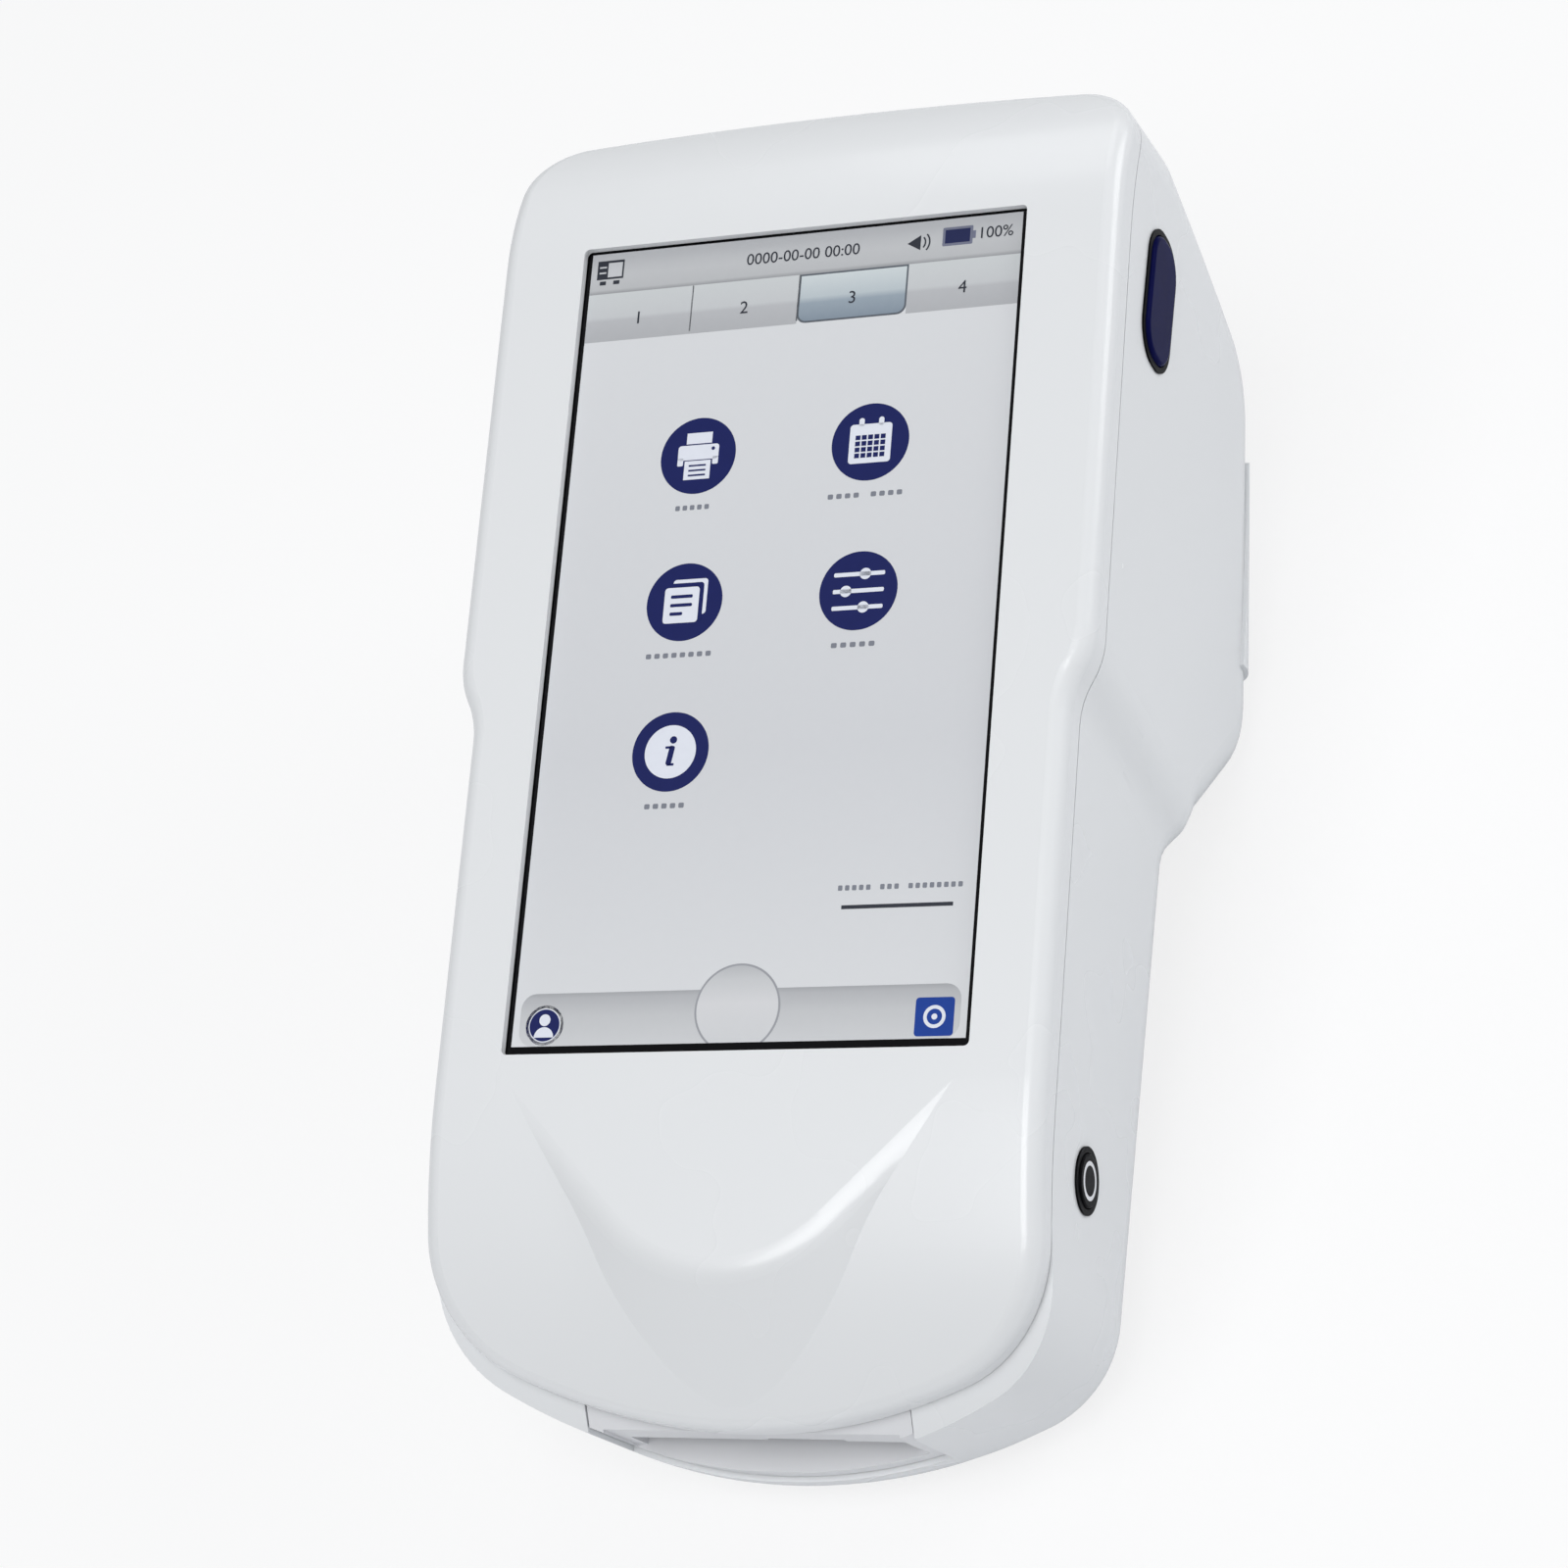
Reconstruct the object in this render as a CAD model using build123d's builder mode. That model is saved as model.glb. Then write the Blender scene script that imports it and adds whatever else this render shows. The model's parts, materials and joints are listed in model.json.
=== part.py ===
from build123d import *

import os
from math import acos, asin, atan2, cos, hypot, pi, radians, sin, sqrt, tan

os.makedirs("parts", exist_ok=True)

# Handheld electrolyte analyzer, lying on its back on a desk.
# Sizes are in millimetres. Along the body, x runs across the screen, y runs from the
# cartridge end to the head, and z rises out of the screen. The body is then tilted so
# that the four feet stand on the desk.

# Screen
opening_width = 69.5
opening_length = 123.0
opening_corner = 0.8
glass_margin = 3.0
glass_thickness = 1.1
glass_corner = 2.0
gasket_thickness = 0.3
gasket_width = 2.4
face_ledge = 1.2
module_margin = 1.4
module_thickness = 3.0
fit_gap = 0.2

# Body seen on the face
head_width = 97.0
waist_step = 3.0
grip_width = head_width - 2 * waist_step
head_end = 84.0
head_end_radius = 500.0
head_corner = 10.0
lip_reach = 111.0
lip_corner = 20.0
lip_corner_start = 86.0
jaw_reach = 115.0
jaw_corner = 17.0
jaw_corner_start = 91.0
step_top = 1.5
step_length = 12.0
step_lean = 0.2
wall = 2.4

# Body seen from the side
roll_start = 60.0
roll_radius = 37.0
roll_angle = 43.0
crown_y = 65.5
crown_depth = 69.5
crown_radius = 20.0
forehead_bulge = 1.2
chin_y = 3.0
chin_depth = 78.5
chin_radius = 14.0
throat_y = -18.0
throat_depth = 51.3
throat_radius = 16.0
grip_taper = 0.083
skirt_start = 66.0
skirt_radius = 84.0
front_round = 2.6
front_rim_depth_body = 27.0
front_rim_depth_head = 14.5
back_round = 9.0

# Seam between cover and shell
seam_depth = 5.5
seam_gap = 0.25
seam_head_start = 58.0
seam_head_radius = 57.0
seam_tail_start = 70.0
seam_tail_radius = 78.0
seam_tail_run = lip_reach + fit_gap - seam_tail_start

# Raised tongue under the screen
tongue_half_width = 35.0
tongue_tip = 92.0
tongue_tip_radius = 23.0
tongue_slope = 55.0
tongue_height = 12.0
tongue_round = 6.0
tongue_wall = 3.0

# Feet
foot_radius = 5.0
foot_proud = 1.2
foot_sink = 1.2
foot_round = 0.8
head_foot_x = 33.0
tail_foot_x = 25.0
tail_foot_y = -95.0

# Cartridge port
port_half_width = 24.0
port_roof_depth = 15.5
port_floor_depth = 29.5
port_base_depth = 32.5
port_back = 98.0
slot_half_width = 20.5
slot_height = 6.0
key_start = 0.5
key_end = 12.0
key_height = 1.0
mouth_start = 110.6
mouth_half_width = 22.0
rim_inset = 0.8

# Power button
power_y = -75.5
power_depth = 19.5
power_bezel_radius = 4.7
power_cap_radius = 3.7
power_trim_radius = 2.7
power_trim_width = 0.6
power_travel = 0.8
bezel_proud = 0.3
cap_proud = 0.6
flange_gap = 0.3
flange_width = 1.0
switch_height = 2.4
switch_case_height = 1.68
switch_half = 2.6
switch_board_half_y = 4.5
switch_board_half_z = 7.0
switch_board_thickness = 1.2
spring_wire = 0.5
running_gap = 0.15

# Latch button
latch_y = 53.7
latch_depth = 19.2
latch_length = 19.5
latch_height = 10.5
latch_corner = 4.6
latch_slant = 5.0
latch_half_y = latch_length / 2
latch_half_z = latch_height / 2
latch_rim = 1.0
latch_dome = 0.8
latch_dome_round = 0.7
latch_flange = 0.8
arm_reach = 7.2
arm_length_share = 0.7
arm_height_share = 0.8
hook_y = 69.5
hook_depth = 42.0
hook_half_height = 2.0
hook_wall = 1.4
hook_head = 1.1
hook_tip = 1.3
hook_bar = 2.5
hook_overlap = 1.7
latch_spring_y = 50.0
spring_clear = 2.0
latch_spring_radius = 2.4

# Charging socket on the left of the grip
socket_y = -62.0
socket_depth = 24.0
socket_half_y = 4.6
socket_half_z = 1.75
socket_reach = 7.4
socket_wall = 0.35
socket_round = 0.9
socket_inner_round = 0.6

# Speaker behind the grip
speaker_y = -62.0
speaker_radius = 10.0
speaker_thickness = 4.0
speaker_magnet_radius = 6.0
speaker_hole_radius = 0.9
speaker_hole_pitch = 4.0

# Paper door
door_half_width = 37.0
door_gap = 0.4
door_edge_depth = 27.0
paper_slot = 2.6
paper_slot_half = 30.0
hinge_y = 54.0
hinge_depth = 66.0
hinge_lip = 6.0
pin_radius = 1.2
barrel_radius = 3.4
barrel_width = 8.0
barrel_x = 26.0
pin_clearance = 0.05
lug_width = 2.6
lug_radius = 3.2

# Printer
platen_y = 71.5
platen_depth = 29.0
platen_radius = 5.0
platen_length = 58.0
shaft_radius = 1.5
frame_plate = 1.2
frame_inner = 30.4
printer_top = 12.0
head_thickness = 2.5
head_gap = 0.1
roll_y = 47.5
roll_depth = 36.5
roll_radius_full = 15.0
roll_width = 57.0
core_radius = 6.5
spool_radius = 3.0
spool_side = 1.4
spool_entry = 2.7
gear_module = 0.5
gear_addendum = 0.4
gear_dedendum = 0.6
pressure_angle = 20.0
gear_width = 2.6
gear_start = -34.6
idler_direction = -40.0
idler_steps = 12
idler_pin_radius = 1.2
pinion_teeth = 12
idler_teeth = 40
platen_teeth = 20
gear_backlash = 0.12
motor_radius = 7.5
motor_length = 9.0
plate_low = 40.2
plate_shoulder = 58.0
plate_high = 76.0
plate_end_depth = 24.0
plate_heel = 74.5
plate_heel_depth = 34.0
plate_waist = 60.0
plate_waist_depth = 36.0
plate_foot = 55.0
plate_foot_depth = 43.0
plate_top_depth = 15.5
bar_low = 65.0
bar_high_end = 75.0
head_low = 64.0
motor_plate_end = 63.0
motor_plate_depth = 34.5

# Battery
battery_length = 28.0
battery_width = 70.0
battery_thickness = 14.0
battery_corner = 3.0
cover_low = 15.0
cover_high = 48.0
bay_wall = 1.4
bay_step = 1.2
cover_proud = 0.6
cover_edge_depth = 67.0

# Boards, bosses and screws
frame_thickness = 1.4
frame_rim = 1.2
ear_x = 40.6
ear_y = 48.0
ear_half = 2.3
boss_radius = 2.6
small_screw_radius = 1.0
small_head_radius = 1.8
small_head_height = 1.3
small_screw_length = 4.0
socket_share = 0.6
printer_boss_x = 26.0
printer_boss_y = 70.0
printer_boss_start = 2.8
standoff_height = 3.0
standoff_inset = 6.0
board_half_width = 30.0
board_low = -36.0
board_high = 44.0
board_thickness = 1.6
board_corner = 2.0
shield_height = 2.4
shield_corner = 1.0
shield_x = -7.0
shield_y = 20.0
shield_half = 14.0
connector_height = 3.4
connector_length = 22.0
connector_width = 5.5
standoff_x = 26.0
post_radius = 2.9
case_screw_radius = 1.5
case_head_radius = 2.75
case_head_height = 2.0
post_web = 4.0
cover_boss_depth = 9.0
thread_length = 4.5
head_post_x = 42.3
head_post_y = 36.0
tail_post_x = 35.0
tail_post_y = -84.0
tail_boss_start = 3.4

# Cartridge module
bed_half_width = 24.0
bed_end = -40.0
bed_thickness = 2.5
bed_rail = 2.0
bed_rail_height = 5.0
bed_leg = 4.0
bed_front_leg = 12.0
heater_thickness = 0.8
heater_half_width = 14.0
heater_sink = 0.1
contact_pin_reach = 1.6
contact_y = -64.0
contact_length = 20.0
contact_roof = 14.0
contact_floor = 22.0
pin_count = 10
pin_pitch = 2.0
contact_pin_radius = 0.4
drive_depth = 18.0
drive_motor_radius = 5.0
drive_motor_length = 12.0
drive_x = 10.0
screw_radius = 1.6
carriage_gap = 1.5
carriage_length = 3.5
carriage_half_width = 14.0
carriage_rise = 3.0
plunger_half_width = 6.0
rod_radius = 1.2
stub_radius = 1.0
stub_length = 4.0


def unit(start, end):
    """Direction from one point of the side view to another."""
    run = (end[0] - start[0], end[1] - start[1])
    length = hypot(*run)
    return (run[0] / length, run[1] / length)


def corner_centre(before, corner, after, radius):
    """Centre of the arc that rounds a corner of the side view."""
    arriving = unit(before, corner)
    leaving = unit(corner, after)
    inward = (leaving[0] - arriving[0], leaving[1] - arriving[1])
    size = hypot(*inward)
    reach = radius / cos(asin(size / 2))
    return (corner[0] + inward[0] / size * reach, corner[1] + inward[1] / size * reach)


# Side view points, as (y, z)
roll_end = (
    roll_start + roll_radius * sin(radians(roll_angle)),
    roll_radius * (cos(radians(roll_angle)) - 1),
)
crown = (crown_y, -crown_depth)
chin = (chin_y, -chin_depth)
throat = (throat_y, -throat_depth)


def grip_back(y):
    """Height of the back of the grip at a place along it."""
    return throat[1] + (throat[0] - y) * grip_taper


def head_back(y):
    """Height of the flat back of the head at a place along it."""
    return chin[1] + (y - chin[0]) * (crown[1] - chin[1]) / (crown[0] - chin[0])


# The desk touches the feet along the common tangent of the chin and the tail
tail_y = back_round - jaw_reach
chin_centre = corner_centre(crown, chin, throat, chin_radius)
tail_centre = (tail_y, grip_back(tail_y) + back_round * hypot(1, grip_taper))
centre_rise = tail_centre[1] - chin_centre[1]
centre_run = chin_centre[0] - tail_centre[0]
tilt = atan2(centre_rise, centre_run) + asin((chin_radius - back_round) / hypot(centre_rise, centre_run))


def desk_run(y, z):
    """Distance along the desk of a side view point, before centring."""
    return y * cos(tilt) - z * sin(tilt)


def desk_rise(y, z):
    """Height of a side view point, measured square to the desk."""
    return y * sin(tilt) + z * cos(tilt)


forehead_middle = ((roll_end[0] + crown[0]) / 2 + forehead_bulge, (roll_end[1] + crown[1]) / 2)
jaw_edge = (-jaw_reach, -port_base_depth - fit_gap)
seam_tail_end = (
    -lip_reach,
    -seam_depth - seam_tail_radius + sqrt(seam_tail_radius**2 - seam_tail_run**2),
)
jaw_slope = (seam_tail_end[1] - jaw_edge[1]) / (jaw_reach - lip_reach)
face_height = chin_radius + foot_proud - desk_rise(*chin_centre)
face_shift = -(desk_run(*forehead_middle) + desk_run(*jaw_edge)) / 2
face = Plane(
    origin=(0, face_shift, face_height),
    x_dir=(1, 0, 0),
    z_dir=(0, -sin(tilt), cos(tilt)),
)


def spot(x, y, z):
    """Place in the room of a point given along the body."""
    return face.from_local_coords(Vector(x, y, z))


def level(depth):
    """Plane parallel to the screen, a depth below the face."""
    return face.offset(-depth)


def beside(x):
    """Plane of the side view at a distance from the middle."""
    return Plane(origin=spot(x, 0, 0), x_dir=face.y_dir, z_dir=face.x_dir)


def across(y):
    """Plane square to the length, facing the cartridge end."""
    return Plane(origin=spot(0, y, 0), x_dir=face.x_dir, z_dir=-face.y_dir)


def rect(plane, xs, ys, corner=0.0):
    """Rectangle on a plane between two pairs of limits."""
    with BuildSketch(plane) as flat:
        with Locations(((xs[0] + xs[1]) / 2, (ys[0] + ys[1]) / 2)):
            if corner:
                RectangleRounded(abs(xs[1] - xs[0]), abs(ys[1] - ys[0]), corner)
            else:
                Rectangle(abs(xs[1] - xs[0]), abs(ys[1] - ys[0]))
    return flat.sketch


def disc(plane, centres, radius):
    """Discs of one size on a plane."""
    with BuildSketch(plane) as flat:
        with Locations(*centres):
            Circle(radius)
    return flat.sketch


def ring(plane, centres, outer, inner):
    """Rings of one size on a plane."""
    with BuildSketch(plane) as flat:
        with Locations(*centres):
            Circle(outer)
            Circle(inner, mode=Mode.SUBTRACT)
    return flat.sketch


def pairs(x, y):
    """The same place on both sides of the middle."""
    return [(x, y), (-x, y)]


def plan_outline(tail, inset):
    """Outline of the body seen on the face, with one of the two tail shapes."""
    reach, corner, corner_start = tail
    head = head_width / 2
    grip = grip_width / 2
    arc_x = grip - corner
    run = reach - corner_start
    end_radius = (arc_x**2 + run**2 - corner**2) / (2 * (run - corner))
    away = unit((0, end_radius - reach), (arc_x, -corner_start))
    turn = atan2(away[1], away[0])
    joint = (arc_x + corner * away[0], -corner_start + corner * away[1])
    middle = (arc_x + corner * cos(turn / 2), -corner_start + corner * sin(turn / 2))
    shoulder = head_end - head_end_radius + sqrt(head_end_radius**2 - head**2)
    overlap = -corner_start / 2
    with BuildSketch() as plan:
        with BuildLine():
            Polyline((head, shoulder), (head, overlap), (grip, overlap), (grip, -corner_start))
            ThreePointArc((grip, -corner_start), middle, joint)
            ThreePointArc(joint, (0, -reach), (-joint[0], joint[1]))
            ThreePointArc((-joint[0], joint[1]), (-middle[0], middle[1]), (-grip, -corner_start))
            Polyline((-grip, -corner_start), (-grip, overlap), (-head, overlap), (-head, shoulder))
            ThreePointArc((-head, shoulder), (0, head_end), (head, shoulder))
        make_face()
        fillet(plan.vertices().sort_by(Axis.Y)[-2:], head_corner)
        if inset:
            offset(amount=-inset, kind=Kind.INTERSECTION, mode=Mode.REPLACE)
    return plan.sketch


def side_profile(inset):
    """Outline of the body seen from the side."""
    half_turn = radians(roll_angle) / 2
    roll_middle = (roll_start + roll_radius * sin(half_turn), roll_radius * (cos(half_turn) - 1))
    chord = unit(roll_end, crown)
    bulge = (
        (roll_end[0] + crown[0]) / 2 - chord[1] * forehead_bulge,
        (roll_end[1] + crown[1]) / 2 + chord[0] * forehead_bulge,
    )
    run = jaw_reach + wall - skirt_start
    skirt_turn = asin(run / skirt_radius)
    skirt_middle = (
        -skirt_start - skirt_radius * sin(skirt_turn / 2),
        skirt_radius * (cos(skirt_turn / 2) - 1),
    )
    skirt_end = (-skirt_start - run, skirt_radius * (cos(skirt_turn) - 1))
    beyond = skirt_end[0] - back_round
    with BuildSketch() as side:
        with BuildLine():
            Line((-skirt_start, 0), (roll_start, 0))
            ThreePointArc((roll_start, 0), roll_middle, roll_end)
            ThreePointArc(roll_end, bulge, crown)
            Polyline(crown, chin, throat, (beyond, grip_back(beyond)), (beyond, skirt_end[1]), skirt_end)
            ThreePointArc(skirt_end, skirt_middle, (-skirt_start, 0))
        make_face()
        for corner, radius in ((crown, crown_radius), (chin, chin_radius), (throat, throat_radius)):
            fillet(side.vertices().sort_by_distance(Vector(*corner))[0], radius)
        if inset:
            offset(amount=-inset, kind=Kind.INTERSECTION, mode=Mode.REPLACE)
    return side.sketch


def waist_outline(inset):
    """Both strips beside the grip, ending in the curved step under the head."""
    drop = (head_width - grip_width) / 2
    radius = (step_length**2 + drop**2) / (4 * drop)
    turn = asin(step_length / 2 / radius) / 2
    bend = radius * (1 - cos(turn))
    climb = radius * sin(turn)
    low = step_top + step_length
    with BuildSketch() as waist:
        for side in (1, -1):
            head = side * (head_width / 2 - inset)
            grip = side * (grip_width / 2 - inset)
            outside = side * head_width
            middle = ((head + grip) / 2, -step_top - step_length / 2)
            with BuildLine():
                ThreePointArc((head, -step_top), (head - side * bend, -step_top - climb), middle)
                ThreePointArc(middle, (grip + side * bend, climb - low), (grip, -low))
                Polyline((grip, -low), (grip, -skirt_start), (outside, -skirt_start))
                Polyline((outside, -skirt_start), (outside, -step_top), (head, -step_top))
            make_face()
    return waist.sketch


lean = (spot(0, -step_lean, -1) - spot(0, 0, 0)).normalized()


def along(edge, direction):
    """True for a straight edge in the given direction."""
    if edge.geom_type != GeomType.LINE:
        return False
    return abs((edge @ 1 - edge @ 0).normalized().dot(direction)) > 0.999


def case_form(tail, inset, front=0.0, back=0.0):
    """Solid body with its front and back rims rounded."""
    with BuildPart() as form:
        with BuildSketch(level(-wall)):
            add(plan_outline(tail, inset))
        extrude(amount=-2 * chin_depth)
        with BuildSketch(beside(-head_width)):
            add(side_profile(inset))
        extrude(amount=2 * head_width, mode=Mode.INTERSECT)
        with BuildSketch(level(-wall)):
            add(waist_outline(inset))
        extrude(amount=2 * chin_depth, dir=lean, mode=Mode.SUBTRACT)
        rims = [
            edge
            for edge in form.edges()
            if not any(along(edge, way) for way in (face.x_dir, face.z_dir, lean))
        ]
        depths = {edge: -face.to_local_coords(edge.center()) for edge in rims}
        front_rim = []
        for edge in rims:
            at_head = -depths[edge].Y >= roll_start
            limit = front_rim_depth_head if at_head else front_rim_depth_body
            if depths[edge].Z < limit:
                front_rim.append(edge)
        back_rim = [edge for edge in rims if edge not in front_rim]
        if front:
            fillet(front_rim, front)
        if back:
            fillet(back_rim, back)
    return form.part


def lid_space(gap):
    """Everything in front of the seam, as a block wider than the body."""
    high = head_end + wall
    run = high - seam_head_start
    head_turn = asin(run / seam_head_radius)
    tail_turn = asin(seam_tail_run / seam_tail_radius)
    beyond = seam_tail_end[0] - head_corner * 2
    top = wall * 2
    base = -seam_depth - gap
    with BuildSketch(beside(-head_width)) as region:
        with BuildLine():
            Line((-seam_tail_start, base), (seam_head_start, base))
            ThreePointArc(
                (seam_head_start, base),
                (
                    seam_head_start + seam_head_radius * sin(head_turn / 2),
                    base - seam_head_radius * (1 - cos(head_turn / 2)),
                ),
                (high, base - seam_head_radius * (1 - cos(head_turn))),
            )
            Polyline(
                (high, base - seam_head_radius * (1 - cos(head_turn))),
                (high, top),
                (beyond, top),
                (beyond, seam_tail_end[1] - gap + (beyond - seam_tail_end[0]) * jaw_slope),
                (seam_tail_end[0], seam_tail_end[1] - gap),
            )
            ThreePointArc(
                (seam_tail_end[0], seam_tail_end[1] - gap),
                (
                    -seam_tail_start - seam_tail_radius * sin(tail_turn / 2),
                    base - seam_tail_radius * (1 - cos(tail_turn / 2)),
                ),
                (-seam_tail_start, base),
            )
        make_face()
    return extrude(region.sketch, amount=2 * head_width, mode=Mode.PRIVATE)


def tongue_form(inset):
    """Raised tongue under the screen, with sloping sides."""
    depth = inset
    slant = tongue_tip_radius * (sqrt(2) - 1)
    apex = tongue_tip + slant - inset
    side = tongue_half_width - inset
    root = apex - side
    radius = tongue_tip_radius - inset
    touch = radius / sqrt(2)
    centre_y = -apex + radius * sqrt(2)
    with BuildSketch(level(depth)) as outline:
        with BuildLine():
            Polyline((-touch, centre_y - touch), (-side, -root), (-side, -root + side))
            Polyline((-side, -root + side), (side, -root + side), (side, -root), (touch, centre_y - touch))
            ThreePointArc((touch, centre_y - touch), (0, centre_y - radius), (-touch, centre_y - touch))
        make_face()
    body = extrude(outline.sketch, amount=-tongue_height, taper=-tongue_slope, mode=Mode.PRIVATE)
    if inset:
        return body
    rim = [edge for edge in body.edges() if -face.to_local_coords(edge.center()).Z < fit_gap]
    return fillet(rim, tongue_round)


def plan_prism(tail, inset):
    """Straight block under the outline of the body, drawn in by an inset."""
    outline = plan_outline(tail, inset).moved(level(0).location)
    return extrude(outline, amount=-chin_depth, mode=Mode.PRIVATE)


# Bodies that the two shells are cut from
lip_tail = (lip_reach, lip_corner, lip_corner_start)
jaw_tail = (jaw_reach, jaw_corner, jaw_corner_start)
lid_form = case_form(lip_tail, 0, front=front_round)
lid_hollow = case_form(lip_tail, wall)
shell_form = case_form(jaw_tail, 0, back=back_round)
shell_hollow = case_form(jaw_tail, wall, back=back_round - wall)
proud_form = case_form(jaw_tail, -cover_proud, back=back_round)

# Depths through the screen stack, from the face down
gasket_front = face_ledge
glass_front = gasket_front + gasket_thickness
module_front = glass_front + glass_thickness
frame_front = module_front + module_thickness
frame_back = frame_front + frame_thickness
board_front = frame_back + standoff_height
board_back = board_front + board_thickness

glass_half_x = opening_width / 2 + glass_margin
glass_half_y = opening_length / 2 + glass_margin
module_half_x = opening_width / 2 + module_margin
module_half_y = opening_length / 2 + module_margin
ears = pairs(ear_x, ear_y) + pairs(ear_x, -ear_y)
standoffs = pairs(standoff_x, board_low + standoff_inset) + pairs(standoff_x, board_high - standoff_inset)
head_posts = pairs(head_post_x, head_post_y)
tail_posts = pairs(tail_post_x, tail_post_y)
case_posts = head_posts + tail_posts
printer_bosses = pairs(printer_boss_x, printer_boss_y)
lid_region = lid_space(0)
shell_cut = lid_space(seam_gap)
port_cut = lid_space(2 * seam_gap)
lip_core = plan_prism(lip_tail, 2 * wall)
tongue = tongue_form(0) & plan_prism(lip_tail, front_round + fit_gap)
tongue_core = tongue_form(tongue_wall) & lip_core

# Front cover: face, side lip and tongue, with the screen opening and its bosses
with BuildPart() as front_cover:
    add(lid_form)
    add(tongue)
    add(lid_hollow, mode=Mode.SUBTRACT)
    add(tongue_core, mode=Mode.SUBTRACT)
    add(lid_region, mode=Mode.INTERSECT)
    extrude(disc(level(face_ledge), ears, boss_radius), amount=face_ledge - frame_front)
    extrude(disc(level(face_ledge), head_posts, post_radius), amount=face_ledge - cover_boss_depth)
    extrude(disc(level(tail_boss_start), tail_posts, post_radius),
            amount=tail_boss_start - cover_boss_depth)
    extrude(disc(level(printer_boss_start), printer_bosses, boss_radius),
            amount=printer_boss_start - printer_top)
    extrude(disc(level(frame_front), ears, small_screw_radius), amount=frame_front - module_front,
            mode=Mode.SUBTRACT)
    extrude(disc(level(printer_top), printer_bosses, small_screw_radius), amount=small_screw_length,
            mode=Mode.SUBTRACT)
    extrude(disc(level(cover_boss_depth), case_posts, case_screw_radius), amount=thread_length,
            mode=Mode.SUBTRACT)
    half_x = opening_width / 2
    half_y = opening_length / 2
    extrude(rect(level(0), (-half_x, half_x), (-half_y, half_y), opening_corner), amount=-wall,
            mode=Mode.SUBTRACT)
    seat_x = glass_half_x + fit_gap
    seat_y = glass_half_y + fit_gap
    extrude(rect(level(gasket_front), (-seat_x, seat_x), (-seat_y, seat_y), glass_corner),
            amount=gasket_front - frame_front, mode=Mode.SUBTRACT)
front_cover.part.label = "front_cover"
export_step(front_cover.part, "parts/front_cover.step")

# Door region seen from the side, grown by a gap for the opening in the shell
hinge_height = -hinge_depth


def door_space(gap, edge_gap):
    """Space of the paper door as a block through its whole width."""
    high = head_end + wall
    low = -chin_depth
    with BuildSketch(beside(0)) as region:
        with BuildLine():
            Polyline((hinge_y, low), (high, low), (high, edge_gap - door_edge_depth),
                     (hinge_y, edge_gap - door_edge_depth), close=True)
        make_face()
        with Locations((hinge_y, hinge_height)):
            Circle(hinge_lip + gap)
    return extrude(region.sketch, amount=door_half_width + gap, both=True, mode=Mode.PRIVATE)


def plan_block(xs, ys, depths, corner=0.0):
    """Block between pairs of limits along the body."""
    return extrude(rect(level(depths[0]), xs, ys, corner), amount=depths[0] - depths[1], mode=Mode.PRIVATE)


def rod(xs, y, z, radius):
    """Round bar across the body between two distances from the middle."""
    return extrude(disc(beside(xs[0]), [(y, z)], radius), amount=xs[1] - xs[0], mode=Mode.PRIVATE)


def side_block(xs, ys, zs):
    """Block between pairs of limits across, along and above the body."""
    return extrude(rect(beside(xs[0]), ys, zs), amount=xs[1] - xs[0], mode=Mode.PRIVATE)


# Back of the head, with its own plane for the battery
battery_middle = (cover_low + cover_high) / 2
back_slope = atan2(crown[1] - chin[1], crown[0] - chin[0])
back_plane = Plane(
    origin=spot(0, battery_middle, head_back(battery_middle)),
    x_dir=(1, 0, 0),
    z_dir=spot(0, -sin(back_slope), cos(back_slope)) - spot(0, 0, 0),
)
battery_x = battery_width / 2
battery_y = battery_length / 2
bay_x = battery_x + fit_gap
bay_y = battery_y + fit_gap
plug_x = bay_x + bay_step
plug_y = bay_y + bay_step
battery_front = wall + battery_thickness
plug_inner = wall - bay_step

grip_slope = atan2(grip_taper, 1)
grip_plane = Plane(
    origin=spot(0, speaker_y, grip_back(speaker_y)),
    x_dir=(1, 0, 0),
    z_dir=spot(0, sin(grip_slope), cos(grip_slope)) - spot(0, 0, 0),
)
door_opening_space = door_space(door_gap, door_gap)
paper_exit = plan_block((-paper_slot_half, paper_slot_half), (platen_y, head_end + wall),
                        (door_edge_depth - paper_slot, door_edge_depth))
door_closed_space = door_space(0, 0)
pin_lugs = [(side * (door_half_width + door_gap), side * (door_half_width + door_gap + lug_width))
            for side in (1, -1)]
cover_band = plan_block((-head_width, head_width), (cover_low, cover_high),
                        (cover_edge_depth, chin_depth + wall))
cover_layer = proud_form - shell_form
foot_spots = [
    (x, face_shift + desk_run(*point))
    for foot_x, point in (
        (head_foot_x, chin_centre),
        (tail_foot_x, (tail_foot_y, grip_back(tail_foot_y))),
    )
    for x in (foot_x, -foot_x)
]
tail_foot_gap = face_height + desk_rise(tail_foot_y, grip_back(tail_foot_y))
foot_heights = [foot_proud + foot_sink] * 2 + [tail_foot_gap + foot_sink] * 2
port_block = plan_block((-port_half_width, port_half_width), (-port_back, -jaw_reach - wall),
                        (port_roof_depth, port_base_depth))
port_window = plan_block(
    (-port_half_width - fit_gap, port_half_width + fit_gap),
    (fit_gap - port_back, -jaw_reach - wall),
    (0, port_base_depth + fit_gap),
)
speaker_holes = [
    (column * speaker_hole_pitch, row * speaker_hole_pitch)
    for column in (-1, 0, 1)
    for row in (-1, 0, 1)
]
port_outline = plan_prism(jaw_tail, rim_inset)
tail_end_space = plan_block((-head_width, head_width), (-jaw_reach - wall, -lip_corner_start),
                            (0, chin_depth))
lip_ledge = (shell_form & lid_space(seam_gap + wall) & tail_end_space) - lip_core
shell_edge = head_width / 2
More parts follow.
